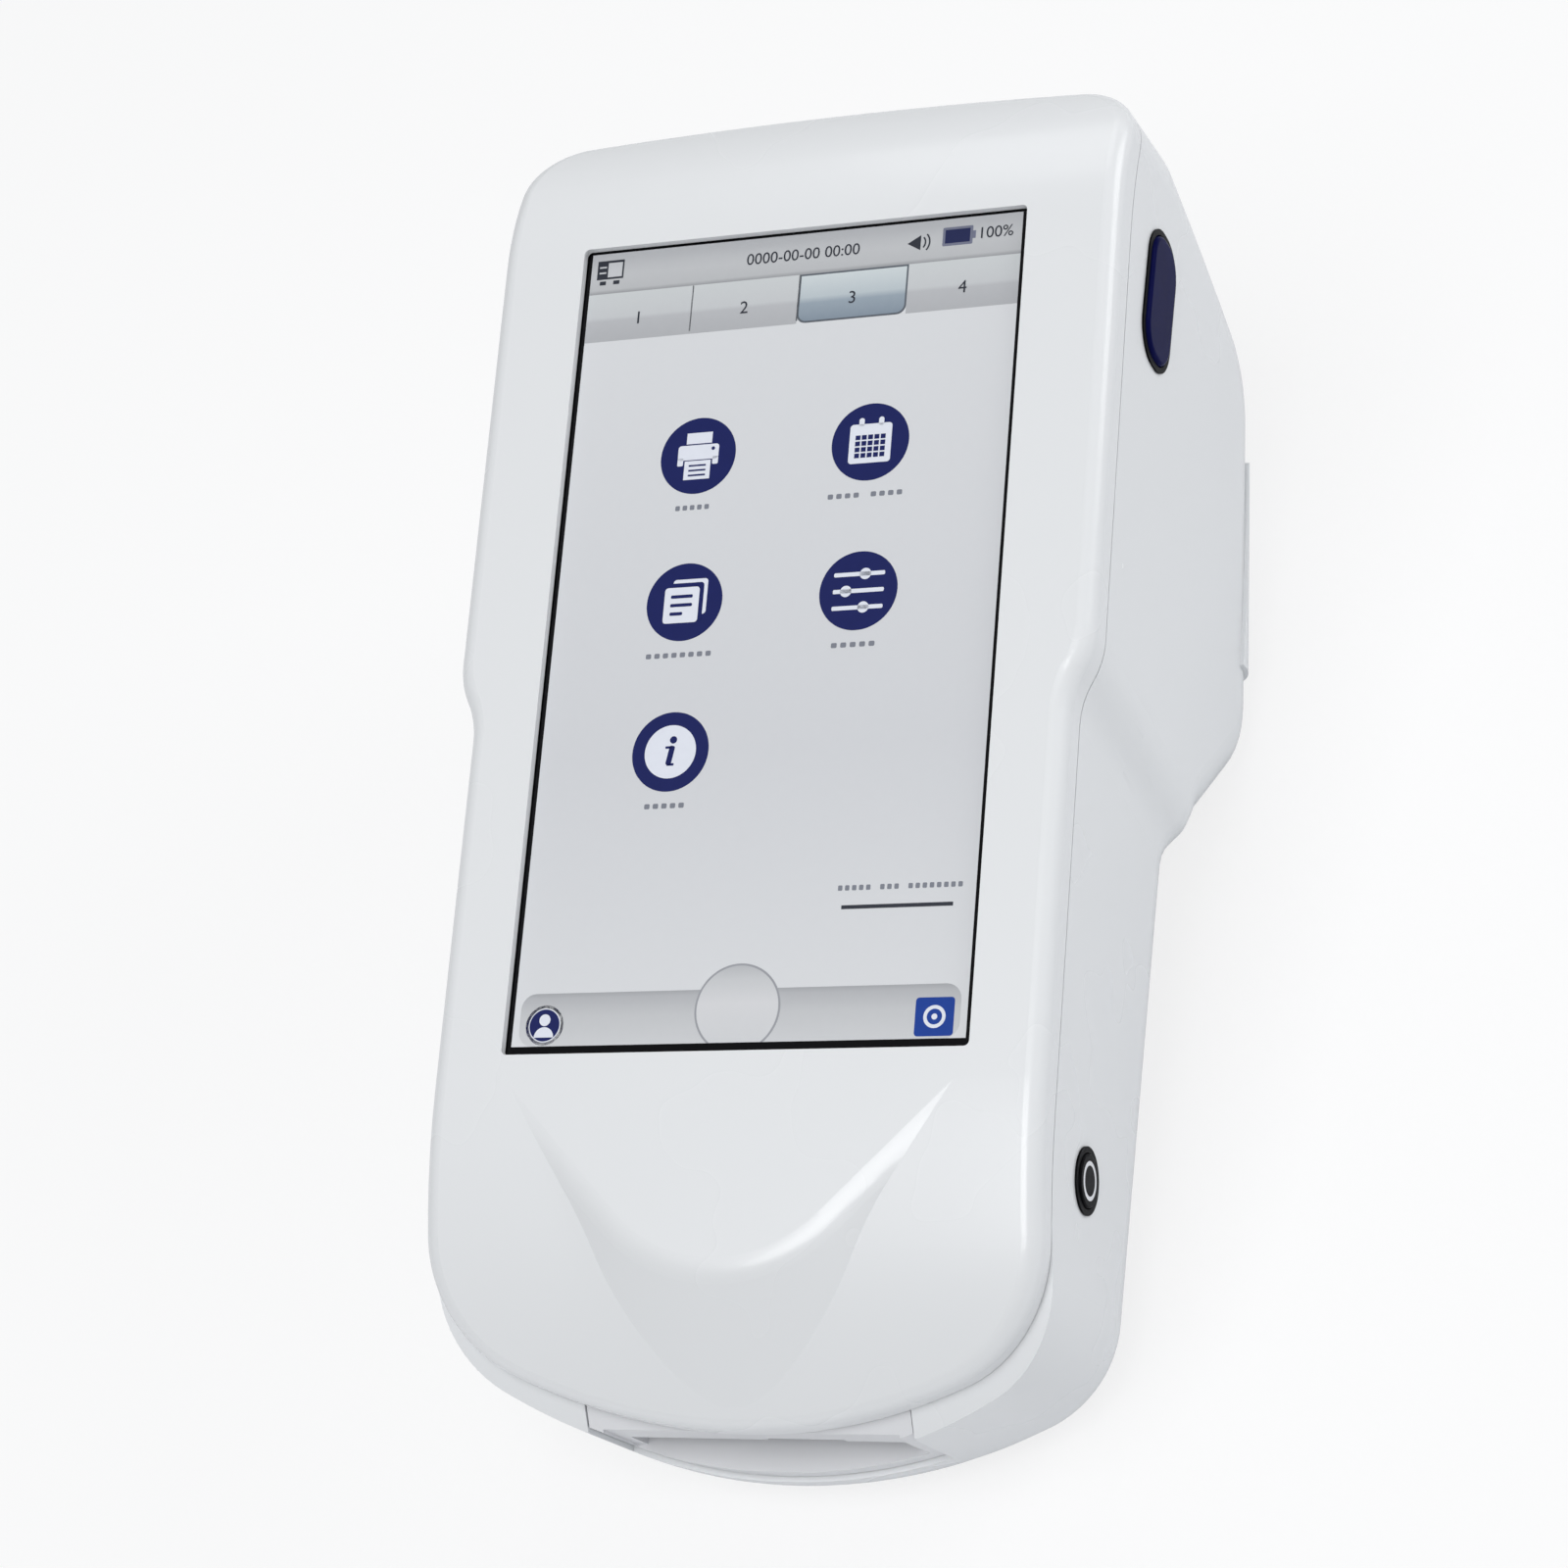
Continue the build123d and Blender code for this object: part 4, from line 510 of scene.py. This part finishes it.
class Plates:
    """Thin flat shapes on the face of the screen, gathered in one mesh."""

    def __init__(self, layer):
        self.mesh = bmesh.new()
        self.low = layer * screen().layer

    def raise_faces(self, before, height=None):
        """Gives the new flat faces a thickness."""
        flat = [item for item in self.mesh.faces if item not in before]
        raised = bmesh.ops.extrude_face_region(self.mesh, geom=flat)
        top = [item for item in raised["geom"] if isinstance(item, bmesh.types.BMVert)]
        bmesh.ops.translate(self.mesh, vec=(0, 0, height or screen().layer), verts=top)

    def block(self, x, y, width, height, corner=0.0, turn=0.0, below_only=False):
        """Rectangle, with rounded corners if asked, turned about its middle."""
        before = set(self.mesh.faces)
        place = Matrix.Translation((x, y, self.low)) @ Matrix.Rotation(turn, 4, "Z")
        shape = place @ Matrix.Diagonal((width, height, 1, 1))
        made = bmesh.ops.create_grid(self.mesh, x_segments=1, y_segments=1, size=0.5, matrix=shape)
        corners = [vertex for vertex in made["verts"] if not below_only or vertex.co.y < y]
        if corner:
            bmesh.ops.bevel(
                self.mesh, geom=corners, offset=corner, offset_type="OFFSET", segments=6,
                profile=0.5, affect="VERTICES", material=-1,
            )
        self.raise_faces(before)

    def disc(self, x, y, radius, sides=48, cut=None, turn=0.0):
        """Disc or regular shape, cut off below a height if asked."""
        before = set(self.mesh.faces)
        place = Matrix.Translation((x, y, self.low)) @ Matrix.Rotation(turn, 4, "Z")
        made = bmesh.ops.create_circle(
            self.mesh, cap_ends=True, segments=sides, radius=radius, matrix=place
        )
        if cut is not None:
            edges = {edge for vertex in made["verts"] for edge in vertex.link_edges}
            faces = {item for vertex in made["verts"] for item in vertex.link_faces}
            bmesh.ops.bisect_plane(
                self.mesh, geom=[*made["verts"], *edges, *faces], plane_co=(x, cut, self.low),
                plane_no=(0, 1, 0), clear_inner=True,
            )
        self.raise_faces(before)

    def arc(self, x, y, radius, line, start, sweep, steps=24):
        """Part of a ring, or a whole ring."""
        before = set(self.mesh.faces)
        way = Vector((cos(start), sin(start), 0))
        middle = Vector((x, y, self.low))
        ends = [self.mesh.verts.new(middle + way * (radius + side * line / 2)) for side in (-1, 1)]
        edge = self.mesh.edges.new(ends)
        bmesh.ops.spin(
            self.mesh, geom=[*ends, edge], cent=middle, axis=(0, 0, 1), angle=sweep, steps=steps,
            use_merge=sweep >= tau,
        )
        self.raise_faces(before)

    def row(self, x, y, width, height, groups):
        """Row of small marks, in groups of the given lengths, that stands for a line of print."""
        pitch = width / (sum(groups) + len(groups) - 1)
        left = x - width / 2
        for count in groups:
            for place in range(count):
                middle = left + pitch * (place + 0.5)
                self.block(middle, y, pitch * MARK_WIDTH, height * MARK_HEIGHT, pitch * MARK_CORNER)
            left += pitch * (count + 1)

    def piece(self, name, finish):
        """Makes the mesh a piece of the scene that rides with the housing."""
        bmesh.ops.remove_doubles(self.mesh, verts=self.mesh.verts, dist=0.001 * MM)
        bmesh.ops.recalc_face_normals(self.mesh, faces=self.mesh.faces)
        self.mesh.transform(face)
        data = bpy.data.meshes.new(name)
        self.mesh.to_mesh(data)
        self.mesh.free()
        return place_piece(name, data, finish)


def place_piece(name, data, finish):
    """Puts a finished mesh in the scene, on the housing."""
    data.materials.append(finish)
    made = bpy.data.objects.new(name, data)
    bpy.context.scene.collection.objects.link(made)
    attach(made, HOUSING)
    return made


def picture_finish(name, colour_value, spread=0.03, gloss=0.3):
    """Printed or lit colour on the screen: a faint pixel grain under a satin film."""
    finish = Finish(name, specular_ior_level=0.2)
    grain = finish.noise(1.4 * MM, 3)
    low, high = shaded(colour_value, 1 - spread), shaded(colour_value, 1 + spread)
    finish.give("Base Color", finish.blend(grain, low, high))
    finish.rough(gloss, gloss + 0.08, finish.noise(8 * MM, 3))
    return finish.material


def ramp_finish(name, low, high, stops, gloss=0.3):
    """Colour on the screen that changes up the face."""
    finish = Finish(name, specular_ior_level=0.2)
    grain = finish.noise(1.4 * MM, 3)
    shades = finish.face_ramp(low, high, stops)
    finish.give("Base Color", finish.blend(grain * 0.04, shades, (1, 1, 1)))
    finish.rough(gloss, gloss + 0.08, finish.noise(8 * MM, 3))
    return finish.material


def picture_edges():
    """Left, right, bottom and top of the picture."""
    given = screen()
    half_width, half_height = given.width / 2, given.height / 2
    left, right = given.shift_x - half_width, given.shift_x + half_width
    return left, right, given.shift_y - half_height, given.shift_y + half_height


def disc_places():
    """Middles of the round symbols: two columns, the second one short."""
    given = screen()
    middle = -0.42 * MM
    left, right = middle - given.column_gap / 2, middle + given.column_gap / 2
    rows = [given.first_row - row * given.row_pitch for row in range(3)]
    return {
        "printer": (left, rows[0]),
        "calendar": (right, rows[0]),
        "pages": (left, rows[1]),
        "sliders": (right, rows[1]),
        "info": (left, rows[2]),
    }


class ANALYZER_OT_screen_ground(bpy.types.Operator):
    """Lays the pale ground of the picture on the glass"""

    bl_idname = "analyzer.screen_ground"
    bl_label = "Screen ground"

    def execute(self, context):
        given = screen()
        left, right, bottom, top = picture_edges()
        plates = Plates(0)
        plates.block(given.shift_x, given.shift_y, given.width, given.height)
        stops = [(0.0, given.ground_light), (0.35, given.ground_dark), (1.0, given.ground_light)]
        plates.piece("screen_ground", ramp_finish("screen_ground_finish", bottom, top, stops))
        return {"FINISHED"}


class ANALYZER_OT_screen_bars(bpy.types.Operator):
    """Lays the status bar, the four tabs and the bottom bar"""

    bl_idname = "analyzer.screen_bars"
    bl_label = "Screen bars and tabs"

    def execute(self, context):
        self.status_bar()
        self.tabs()
        self.bottom_bar()
        return {"FINISHED"}

    def status_bar(self):
        """Band at the top, a little darker at its lower edge."""
        given = screen()
        left, right, bottom, top = picture_edges()
        low = top - given.status_height
        bar = Plates(1)
        bar.block(given.shift_x, (low + top) / 2, given.width, given.status_height)
        stops = [(0.0, tone(150, 152, 156)), (0.1, tone(186, 188, 191)), (0.45, tone(193, 195, 198)),
                 (1.0, tone(188, 190, 194))]
        bar.piece("screen_status_bar", ramp_finish("status_bar_finish", low, top, stops))

    def tabs(self):
        """Four tabs, the third one picked out, with thin lines between them."""
        given = screen()
        left, right, bottom, top = picture_edges()
        high = top - given.status_height
        low = high - given.tab_height
        middle = (low + high) / 2
        width = given.width / 4
        centres = [left + width * (place + 0.5) for place in range(4)]
        plain = Plates(1)
        for place in (0, 1, 3):
            plain.block(centres[place], middle, width, given.tab_height)
        stops = [(0.0, tone(176, 178, 182)), (0.42, tone(184, 186, 190)), (0.5, tone(198, 201, 204)),
                 (1.0, tone(204, 208, 210))]
        plain.piece("screen_tabs", ramp_finish("tab_finish", low, high, stops))
        rim = Plates(1)
        rim.block(centres[2], middle, width, given.tab_height, 1.4 * MM, below_only=True)
        for place in (1, 2):
            rim.block(left + width * place, middle + 0.2 * MM, 0.22 * MM, given.tab_height * 0.94)
        rim.piece("screen_tab_lines", picture_finish("tab_line_finish", tone(96, 102, 110)))
        picked = Plates(2)
        inset = 0.28 * MM
        picked.block(
            centres[2], middle, width - 2 * inset, given.tab_height - 2 * inset, 1.2 * MM, below_only=True
        )
        stops = [(0.0, tone(128, 142, 156)), (0.4, tone(150, 163, 175)), (0.52, tone(186, 196, 202)),
                 (1.0, tone(208, 216, 219))]
        picked.piece("screen_picked_tab", ramp_finish("picked_tab_finish", low, high, stops))

    def bottom_bar(self):
        """Band with rounded ends and a bare round button in its middle."""
        given = screen()
        left, right, bottom, top = picture_edges()
        high = bottom + given.bar_height
        bar = Plates(1)
        bar.block(
            given.shift_x, (bottom + high) / 2, given.width - 2 * MM, given.bar_height, 2.2 * MM
        )
        stops = [(0.0, tone(205, 207, 210)), (0.55, tone(196, 198, 201)), (0.9, tone(180, 182, 186)),
                 (1.0, tone(164, 166, 170))]
        bar.piece("screen_bottom_bar", ramp_finish("bottom_bar_finish", bottom, high, stops))
        centre = bottom + 4.8 * MM
        rim = Plates(2)
        rim.disc(0, centre, given.dome_radius, 64, bottom)
        rim.piece("screen_dome_rim", picture_finish("dome_rim_finish", tone(158, 160, 166)))
        dome = Plates(3)
        dome.disc(0, centre, given.dome_radius - 0.3 * MM, 64, bottom)
        crown = centre + given.dome_radius
        stops = [(0.0, tone(208, 210, 213)), (0.5, tone(214, 215, 218)), (0.8, tone(200, 202, 205)),
                 (1.0, tone(182, 184, 188))]
        dome.piece("screen_dome", ramp_finish("dome_finish", bottom, crown, stops))


class ANALYZER_OT_screen_discs(bpy.types.Operator):
    """Lays the navy discs and the marks on them"""

    bl_idname = "analyzer.screen_discs"
    bl_label = "Screen symbols"

    def execute(self, context):
        given = screen()
        navy = picture_finish("navy_finish", given.navy, 0.08)
        white = picture_finish("mark_white_finish", given.white)
        discs, marks, details = Plates(1), Plates(2), Plates(3)
        places = disc_places()
        for x, y in places.values():
            discs.disc(x, y, given.disc_radius, 64)
        self.printer(marks, details, *places["printer"])
        self.calendar(marks, details, *places["calendar"])
        self.pages(marks, details, *places["pages"])
        self.sliders(marks, *places["sliders"])
        self.info(marks, details, *places["info"])
        self.corner_symbols(discs, marks, details)
        discs.piece("screen_discs", navy)
        marks.piece("screen_disc_marks", white)
        details.piece("screen_disc_details", navy)
        return {"FINISHED"}

    def printer(self, marks, details, x, y):
        """Printer with a sheet above and a sheet below."""
        marks.block(x, y + 2.75 * MM, 4.0 * MM, 1.7 * MM)
        marks.block(x, y + 0.55 * MM, 6.4 * MM, 2.3 * MM, 0.45 * MM)
        for side in (-1, 1):
            marks.block(x + side * 2.75 * MM, y - 0.85 * MM, 0.9 * MM, 1.2 * MM, 0.2 * MM)
        marks.block(x, y - 2.2 * MM, 4.1 * MM, 2.9 * MM)
        details.disc(x + 2.3 * MM, y + 1.0 * MM, 0.28 * MM, 16)
        for line in range(3):
            details.block(x, y - (1.5 + 0.75 * line) * MM, 2.7 * MM, 0.26 * MM)

    def calendar(self, marks, details, x, y):
        """Calendar sheet with two rings and a grid of days."""
        columns, rows = 5, 4
        marks.block(x, y - 0.2 * MM, 6.4 * MM, 6.0 * MM, 0.5 * MM)
        for side in (-1, 1):
            marks.block(x + side * 1.5 * MM, y + 3.1 * MM, 0.8 * MM, 1.3 * MM, 0.38 * MM)
        for column in range(columns):
            for row in range(rows):
                details.block(
                    x + (column - (columns - 1) / 2) * 0.96 * MM, y + (0.75 - row * 0.92) * MM,
                    0.74 * MM, 0.7 * MM,
                )

    def pages(self, marks, details, x, y):
        """Two sheets, the front one with three lines."""
        marks.block(x + 0.75 * MM, y + 0.75 * MM, 5.4 * MM, 5.4 * MM, 0.5 * MM)
        details.block(x - 0.05 * MM, y - 0.05 * MM, 5.9 * MM, 5.9 * MM, 0.5 * MM)
        front = Plates(4)
        front.block(x - 0.45 * MM, y - 0.45 * MM, 5.4 * MM, 5.4 * MM, 0.5 * MM)
        front.piece("screen_front_page", picture_finish("front_page_finish", screen().white))
        lines = Plates(5)
        for line, width in enumerate((3.4, 3.4, 2.0)):
            shift = (3.4 - width) / 2
            lines.block(
                x - (0.45 + shift) * MM, y + (0.85 - 1.3 * line) * MM, width * MM, 0.5 * MM, 0.2 * MM
            )
        lines.piece("screen_page_lines", picture_finish("page_line_finish", screen().navy))

    def sliders(self, marks, x, y):
        """Three lines with a round knob on each."""
        for line, knob in enumerate((0.9, -1.9, 0.9)):
            rise = y + (1 - line) * 2.5 * MM
            marks.block(x, rise, 7.7 * MM, 0.62 * MM, 0.2 * MM)
            marks.disc(x + knob * MM, rise, 0.85 * MM, 24)

    def info(self, marks, details, x, y):
        """Pale disc with a dot over a stem."""
        marks.disc(x, y, 3.95 * MM, 64)
        details.disc(x + 0.35 * MM, y + 1.75 * MM, 0.55 * MM, 24)
        details.block(x + 0.05 * MM, y - 0.55 * MM, 0.85 * MM, 2.9 * MM, 0.3 * MM, radians(-10))
        details.block(x - 0.25 * MM, y + 0.65 * MM, 1.1 * MM, 0.36 * MM, 0.1 * MM)
        details.block(x + 0.15 * MM, y - 1.9 * MM, 1.1 * MM, 0.36 * MM, 0.1 * MM)

    def corner_symbols(self, discs, marks, details):
        """User symbol at the left and a square with a ring at the right of the bottom bar."""
        user_x, square_x, rise = -29.15 * MM, 29.0 * MM, -57.0 * MM
        discs.disc(user_x, rise, 2.9 * MM, 48)
        marks.disc(user_x, rise, 2.45 * MM, 48)
        details.disc(user_x, rise, 2.3 * MM, 48)
        figure = Plates(4)
        figure.disc(user_x, rise + 0.75 * MM, 0.85 * MM, 32)
        figure.disc(user_x, rise - 1.75 * MM, 1.5 * MM, 32, rise - 1.75 * MM)
        figure.piece("screen_user_mark", picture_finish("user_mark_finish", screen().white))
        square = Plates(2)
        square.block(square_x, rise, 5.6 * MM, 5.4 * MM, 0.5 * MM)
        square.piece("screen_square", picture_finish("square_finish", screen().blue, 0.08))
        ring = Plates(3)
        ring.arc(square_x, rise, 1.35 * MM, 0.5 * MM, 0, tau, 32)
        ring.disc(square_x, rise, 0.42 * MM, 24)
        ring.piece("screen_square_mark", picture_finish("square_mark_finish", screen().white))


class ANALYZER_OT_screen_status(bpy.types.Operator):
    """Lays the small symbols of the status bar"""

    bl_idname = "analyzer.screen_status"
    bl_label = "Screen status symbols"

    def execute(self, context):
        dark, pale = Plates(2), Plates(3)
        self.monitor(dark, pale)
        self.loudspeaker(dark)
        dark.piece("screen_status_marks", picture_finish("status_mark_finish", screen().ink))
        pale.piece("screen_status_gaps", picture_finish("status_gap_finish", tone(200, 202, 206)))
        self.battery()
        return {"FINISHED"}

    def monitor(self, dark, pale):
        """Small screen on a foot, with a block of lines at its left."""
        x, y = -30.9 * MM, 58.55 * MM
        dark.block(x, y, 4.3 * MM, 3.0 * MM)
        pale.block(x + 0.75 * MM, y - 0.05 * MM, 2.3 * MM, 2.3 * MM)
        for line in range(2):
            pale.block(x - 1.25 * MM, y + (0.45 - 0.9 * line) * MM, 1.1 * MM, 0.25 * MM)
        for side in (-1, 1):
            dark.block(x + side * 1.1 * MM, y - 2.1 * MM, 1.0 * MM, 0.6 * MM)

    def loudspeaker(self, dark):
        """Loudspeaker with two waves."""
        x, y = 17.6 * MM, 57.9 * MM
        dark.disc(x, y, 1.35 * MM, 3, None, pi / 2)
        for wave in (1, 2):
            dark.arc(x + 0.2 * MM, y, (0.55 + 0.65 * wave) * MM, 0.24 * MM, radians(-42), radians(84), 12)

    def battery(self):
        """Full battery."""
        x, y = 23.9 * MM, 58.4 * MM
        case = Plates(2)
        case.block(x, y, 4.6 * MM, 2.9 * MM, 0.2 * MM)
        case.block(x + 2.5 * MM, y, 0.5 * MM, 1.2 * MM)
        case.piece("screen_battery_case", picture_finish("battery_case_finish", tone(118, 122, 142)))
        charge = Plates(3)
        charge.block(x, y, 3.8 * MM, 2.1 * MM)
        charge.piece("screen_battery_charge", picture_finish("battery_charge_finish", tone(38, 44, 84)))


class ANALYZER_OT_screen_rows(bpy.types.Operator):
    """Lays the rows of small marks under the symbols and the line near the bottom"""

    bl_idname = "analyzer.screen_rows"
    bl_label = "Screen rows of marks"

    def execute(self, context):
        rows = Plates(1)
        height = 1.5 * MM
        drop = 8.0 * MM
        widths = {"printer": 5.7, "calendar": 11.8, "pages": 10.6, "sliders": 7.1, "info": 6.6}
        groups = {"printer": (5,), "calendar": (4, 4), "pages": (8,), "sliders": (5,), "info": (5,)}
        for name, (x, y) in disc_places().items():
            rows.row(x - 0.2 * MM, y - drop, widths[name] * MM, height, groups[name])
        rows.row(22.6 * MM, -38.5 * MM, 18.6 * MM, height, (5, 3, 8))
        rows.piece("screen_rows", picture_finish("row_finish", screen().faint_ink))
        line = Plates(1)
        line.block(22.35 * MM, -41.25 * MM, 16.3 * MM, 0.55 * MM)
        line.piece("screen_line", picture_finish("line_finish", screen().ink))
        return {"FINISHED"}


class ANALYZER_OT_screen_numbers(bpy.types.Operator):
    """Sets the clock, the charge and the numbers of the tabs"""

    bl_idname = "analyzer.screen_numbers"
    bl_label = "Screen numbers"

    def execute(self, context):
        given = screen()
        left, right, bottom, top = picture_edges()
        ink = picture_finish("number_finish", given.ink)
        self.number("screen_clock", "0000-00-00 00:00", 0.0, 57.95 * MM, 1.75 * MM, ink)
        self.number("screen_charge", "100%", 29.9 * MM, 58.5 * MM, 1.75 * MM, ink)
        width = given.width / 4
        rise = top - given.status_height - given.tab_height * 0.56
        for place in range(4):
            middle = left + width * (place + 0.5)
            self.number(f"screen_tab_number_{place + 1}", str(place + 1), middle, rise, 1.9 * MM, ink)
        return {"FINISHED"}

    def number(self, name, figures, x, y, height, finish):
        """Figures of a given height, as a thin mesh on the screen."""
        script = bpy.data.curves.new(name, "FONT")
        script.body = figures
        script.extrude = 0.01
        holder = bpy.data.objects.new(name, script)
        data = bpy.data.meshes.new_from_object(holder)
        bpy.data.objects.remove(holder)
        bpy.data.curves.remove(script)
        shape = bmesh.new()
        shape.from_mesh(data)
        bmesh.ops.remove_doubles(shape, verts=shape.verts, dist=0.0001)
        edges = [
            [part(vertex.co[axis] for vertex in shape.verts) for part in (min, max)] for axis in range(3)
        ]
        scale = height / (edges[1][1] - edges[1][0])
        middle = Vector([sum(pair) / 2 for pair in edges])
        thick = screen().layer / (edges[2][1] - edges[2][0])
        lift = screen().layer * 3.5
        place = Matrix.Translation((x, y, lift)) @ Matrix.Diagonal((scale, scale, thick, 1))
        bmesh.ops.transform(shape, matrix=face @ place @ Matrix.Translation(-middle), verts=shape.verts)
        bmesh.ops.recalc_face_normals(shape, faces=shape.faces)
        shape.to_mesh(data)
        shape.free()
        data.materials.clear()
        place_piece(name, data, finish)


class ANALYZER_OT_stage(bpy.types.Operator):
    """Sets the floor, the light and the camera"""

    bl_idname = "analyzer.stage"
    bl_label = "Stage"

    def execute(self, context):
        self.floor()
        self.sky()
        self.lamps()
        self.camera()
        return {"FINISHED"}

    def floor(self):
        """Pale floor that keeps the shadow."""
        given = bpy.context.scene.analyzer_stage
        shape = bmesh.new()
        bmesh.ops.create_grid(shape, x_segments=1, y_segments=1, size=given.floor_size / 2)
        data = bpy.data.meshes.new("floor")
        shape.to_mesh(data)
        shape.free()
        made = bpy.data.objects.new("floor", data)
        bpy.context.scene.collection.objects.link(made)
        finish = Finish("floor_finish", specular_ior_level=0.1)
        finish.give("Base Color", given.floor_white)
        finish.rough(0.7, 0.8, finish.noise(0.2, 2))
        glow = finish.node("ShaderNodeEmission", {}, {"Color": (1, 1, 1), "Strength": 1.0})
        seen = finish.node("ShaderNodeLightPath", output="Is Camera Ray")
        body = Reading(finish, finish.surface.outputs[0])
        mixed = finish.node("ShaderNodeMixShader", {}, {0: seen * FLOOR_GLOW, 1: body, 2: glow})
        finish.join(finish.tree.nodes["Material Output"].inputs["Surface"], mixed)
        data.materials.append(finish.material)
        made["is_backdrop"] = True

    def sky(self):
        """Even light from all sides, white where it is seen, also through glass."""
        given = bpy.context.scene.analyzer_stage
        world = bpy.data.worlds.new("sky")
        world.use_nodes = True
        bpy.context.scene.world = world
        web = Web(world.node_tree)
        seen = web.node("ShaderNodeLightPath", output="Is Camera Ray")
        through = web.node("ShaderNodeLightPath", output="Is Transmission Ray")
        background = world.node_tree.nodes["Background"]
        web.join(background.inputs["Strength"], given.sky_light + (seen + through) * (1 - given.sky_light))
        web.join(background.inputs["Color"], (0.965, 0.98, 1.0))

    def lamps(self):
        """Large soft lamps: one before the face, one at the side, one over the head."""
        given = bpy.context.scene.analyzer_stage
        middle = face.translation
        plan = (
            ("key_lamp", given.key_light, 0.6, (0.0, -0.15, 0.99)),
            ("side_lamp", given.side_light, 0.5, (0.75, 0.6, 0.25)),
            ("top_lamp", given.top_light, 0.5, (-0.1, 0.9, 0.5)),
        )
        for name, power, size, way in plan:
            light = bpy.data.lights.new(name, "AREA")
            light.energy = power
            light.size = size
            lamp = bpy.data.objects.new(name, light)
            aim = face.to_3x3() @ Vector(way)
            turn = aim.to_track_quat("Z", "Y").to_matrix().to_4x4()
            lamp.matrix_world = Matrix.Translation(middle + aim) @ turn
            bpy.context.scene.collection.objects.link(lamp)

    def camera(self):
        """Camera at the photograph's angle."""
        given = bpy.context.scene.analyzer_stage
        optics = bpy.data.cameras.new("camera")
        optics.lens = given.lens
        optics.sensor_width = 36
        camera = bpy.data.objects.new("camera", optics)
        turn = Euler(given.camera_turn, "XYZ").to_matrix().to_4x4()
        camera.matrix_world = face @ Matrix.Translation(given.camera_place) @ turn
        bpy.context.scene.collection.objects.link(camera)
        bpy.context.scene.camera = camera
        bpy.context.scene.view_settings.view_transform = "Standard"


class ANALYZER_PT_sidebar(bpy.types.Panel):
    """Steps and settings of the analyzer"""

    bl_idname = "ANALYZER_PT_sidebar"
    bl_label = "Electrolyte Analyzer"
    bl_space_type = "VIEW_3D"
    bl_region_type = "UI"
    bl_category = "Analyzer"

    def draw(self, context):
        for operator in OPERATORS:
            self.layout.operator(operator.bl_idname)
        for group in (settings(), screen(), context.scene.analyzer_stage):
            box = self.layout.box()
            for name in group.__annotations__:
                box.prop(group, name)


OPERATORS = (
    ANALYZER_OT_finish_case,
    ANALYZER_OT_screen_ground,
    ANALYZER_OT_screen_bars,
    ANALYZER_OT_screen_discs,
    ANALYZER_OT_screen_status,
    ANALYZER_OT_screen_rows,
    ANALYZER_OT_screen_numbers,
    ANALYZER_OT_stage,
)
GROUPS = {
    "analyzer_finish": FinishSettings,
    "analyzer_screen": ScreenSettings,
    "analyzer_stage": StageSettings,
}


def register():
    """Registers the settings, the steps and the panel."""
    for name, group in GROUPS.items():
        bpy.utils.register_class(group)
        setattr(bpy.types.Scene, name, PointerProperty(type=group))
    for operator in (*OPERATORS, ANALYZER_PT_sidebar):
        bpy.utils.register_class(operator)


def unregister():
    """Takes the panel, the steps and the settings away again."""
    for operator in (ANALYZER_PT_sidebar, *reversed(OPERATORS)):
        bpy.utils.unregister_class(operator)
    for name, group in GROUPS.items():
        delattr(bpy.types.Scene, name)
        bpy.utils.unregister_class(group)


def corners(box):
    """Lowest and highest corner of a box, as plain lists."""
    return [list(map(float, corner)) for corner in box]


def main():
    """Builds the whole scene."""
    register()
    bpy.ops.analyzer.finish_case()
    bpy.ops.analyzer.screen_ground()
    bpy.ops.analyzer.screen_bars()
    bpy.ops.analyzer.screen_discs()
    bpy.ops.analyzer.screen_status()
    bpy.ops.analyzer.screen_rows()
    bpy.ops.analyzer.screen_numbers()
    bpy.ops.analyzer.stage()
    {"cad": corners(frame_box), "visual": corners(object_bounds())}


if __name__ == "__main__":
    main()
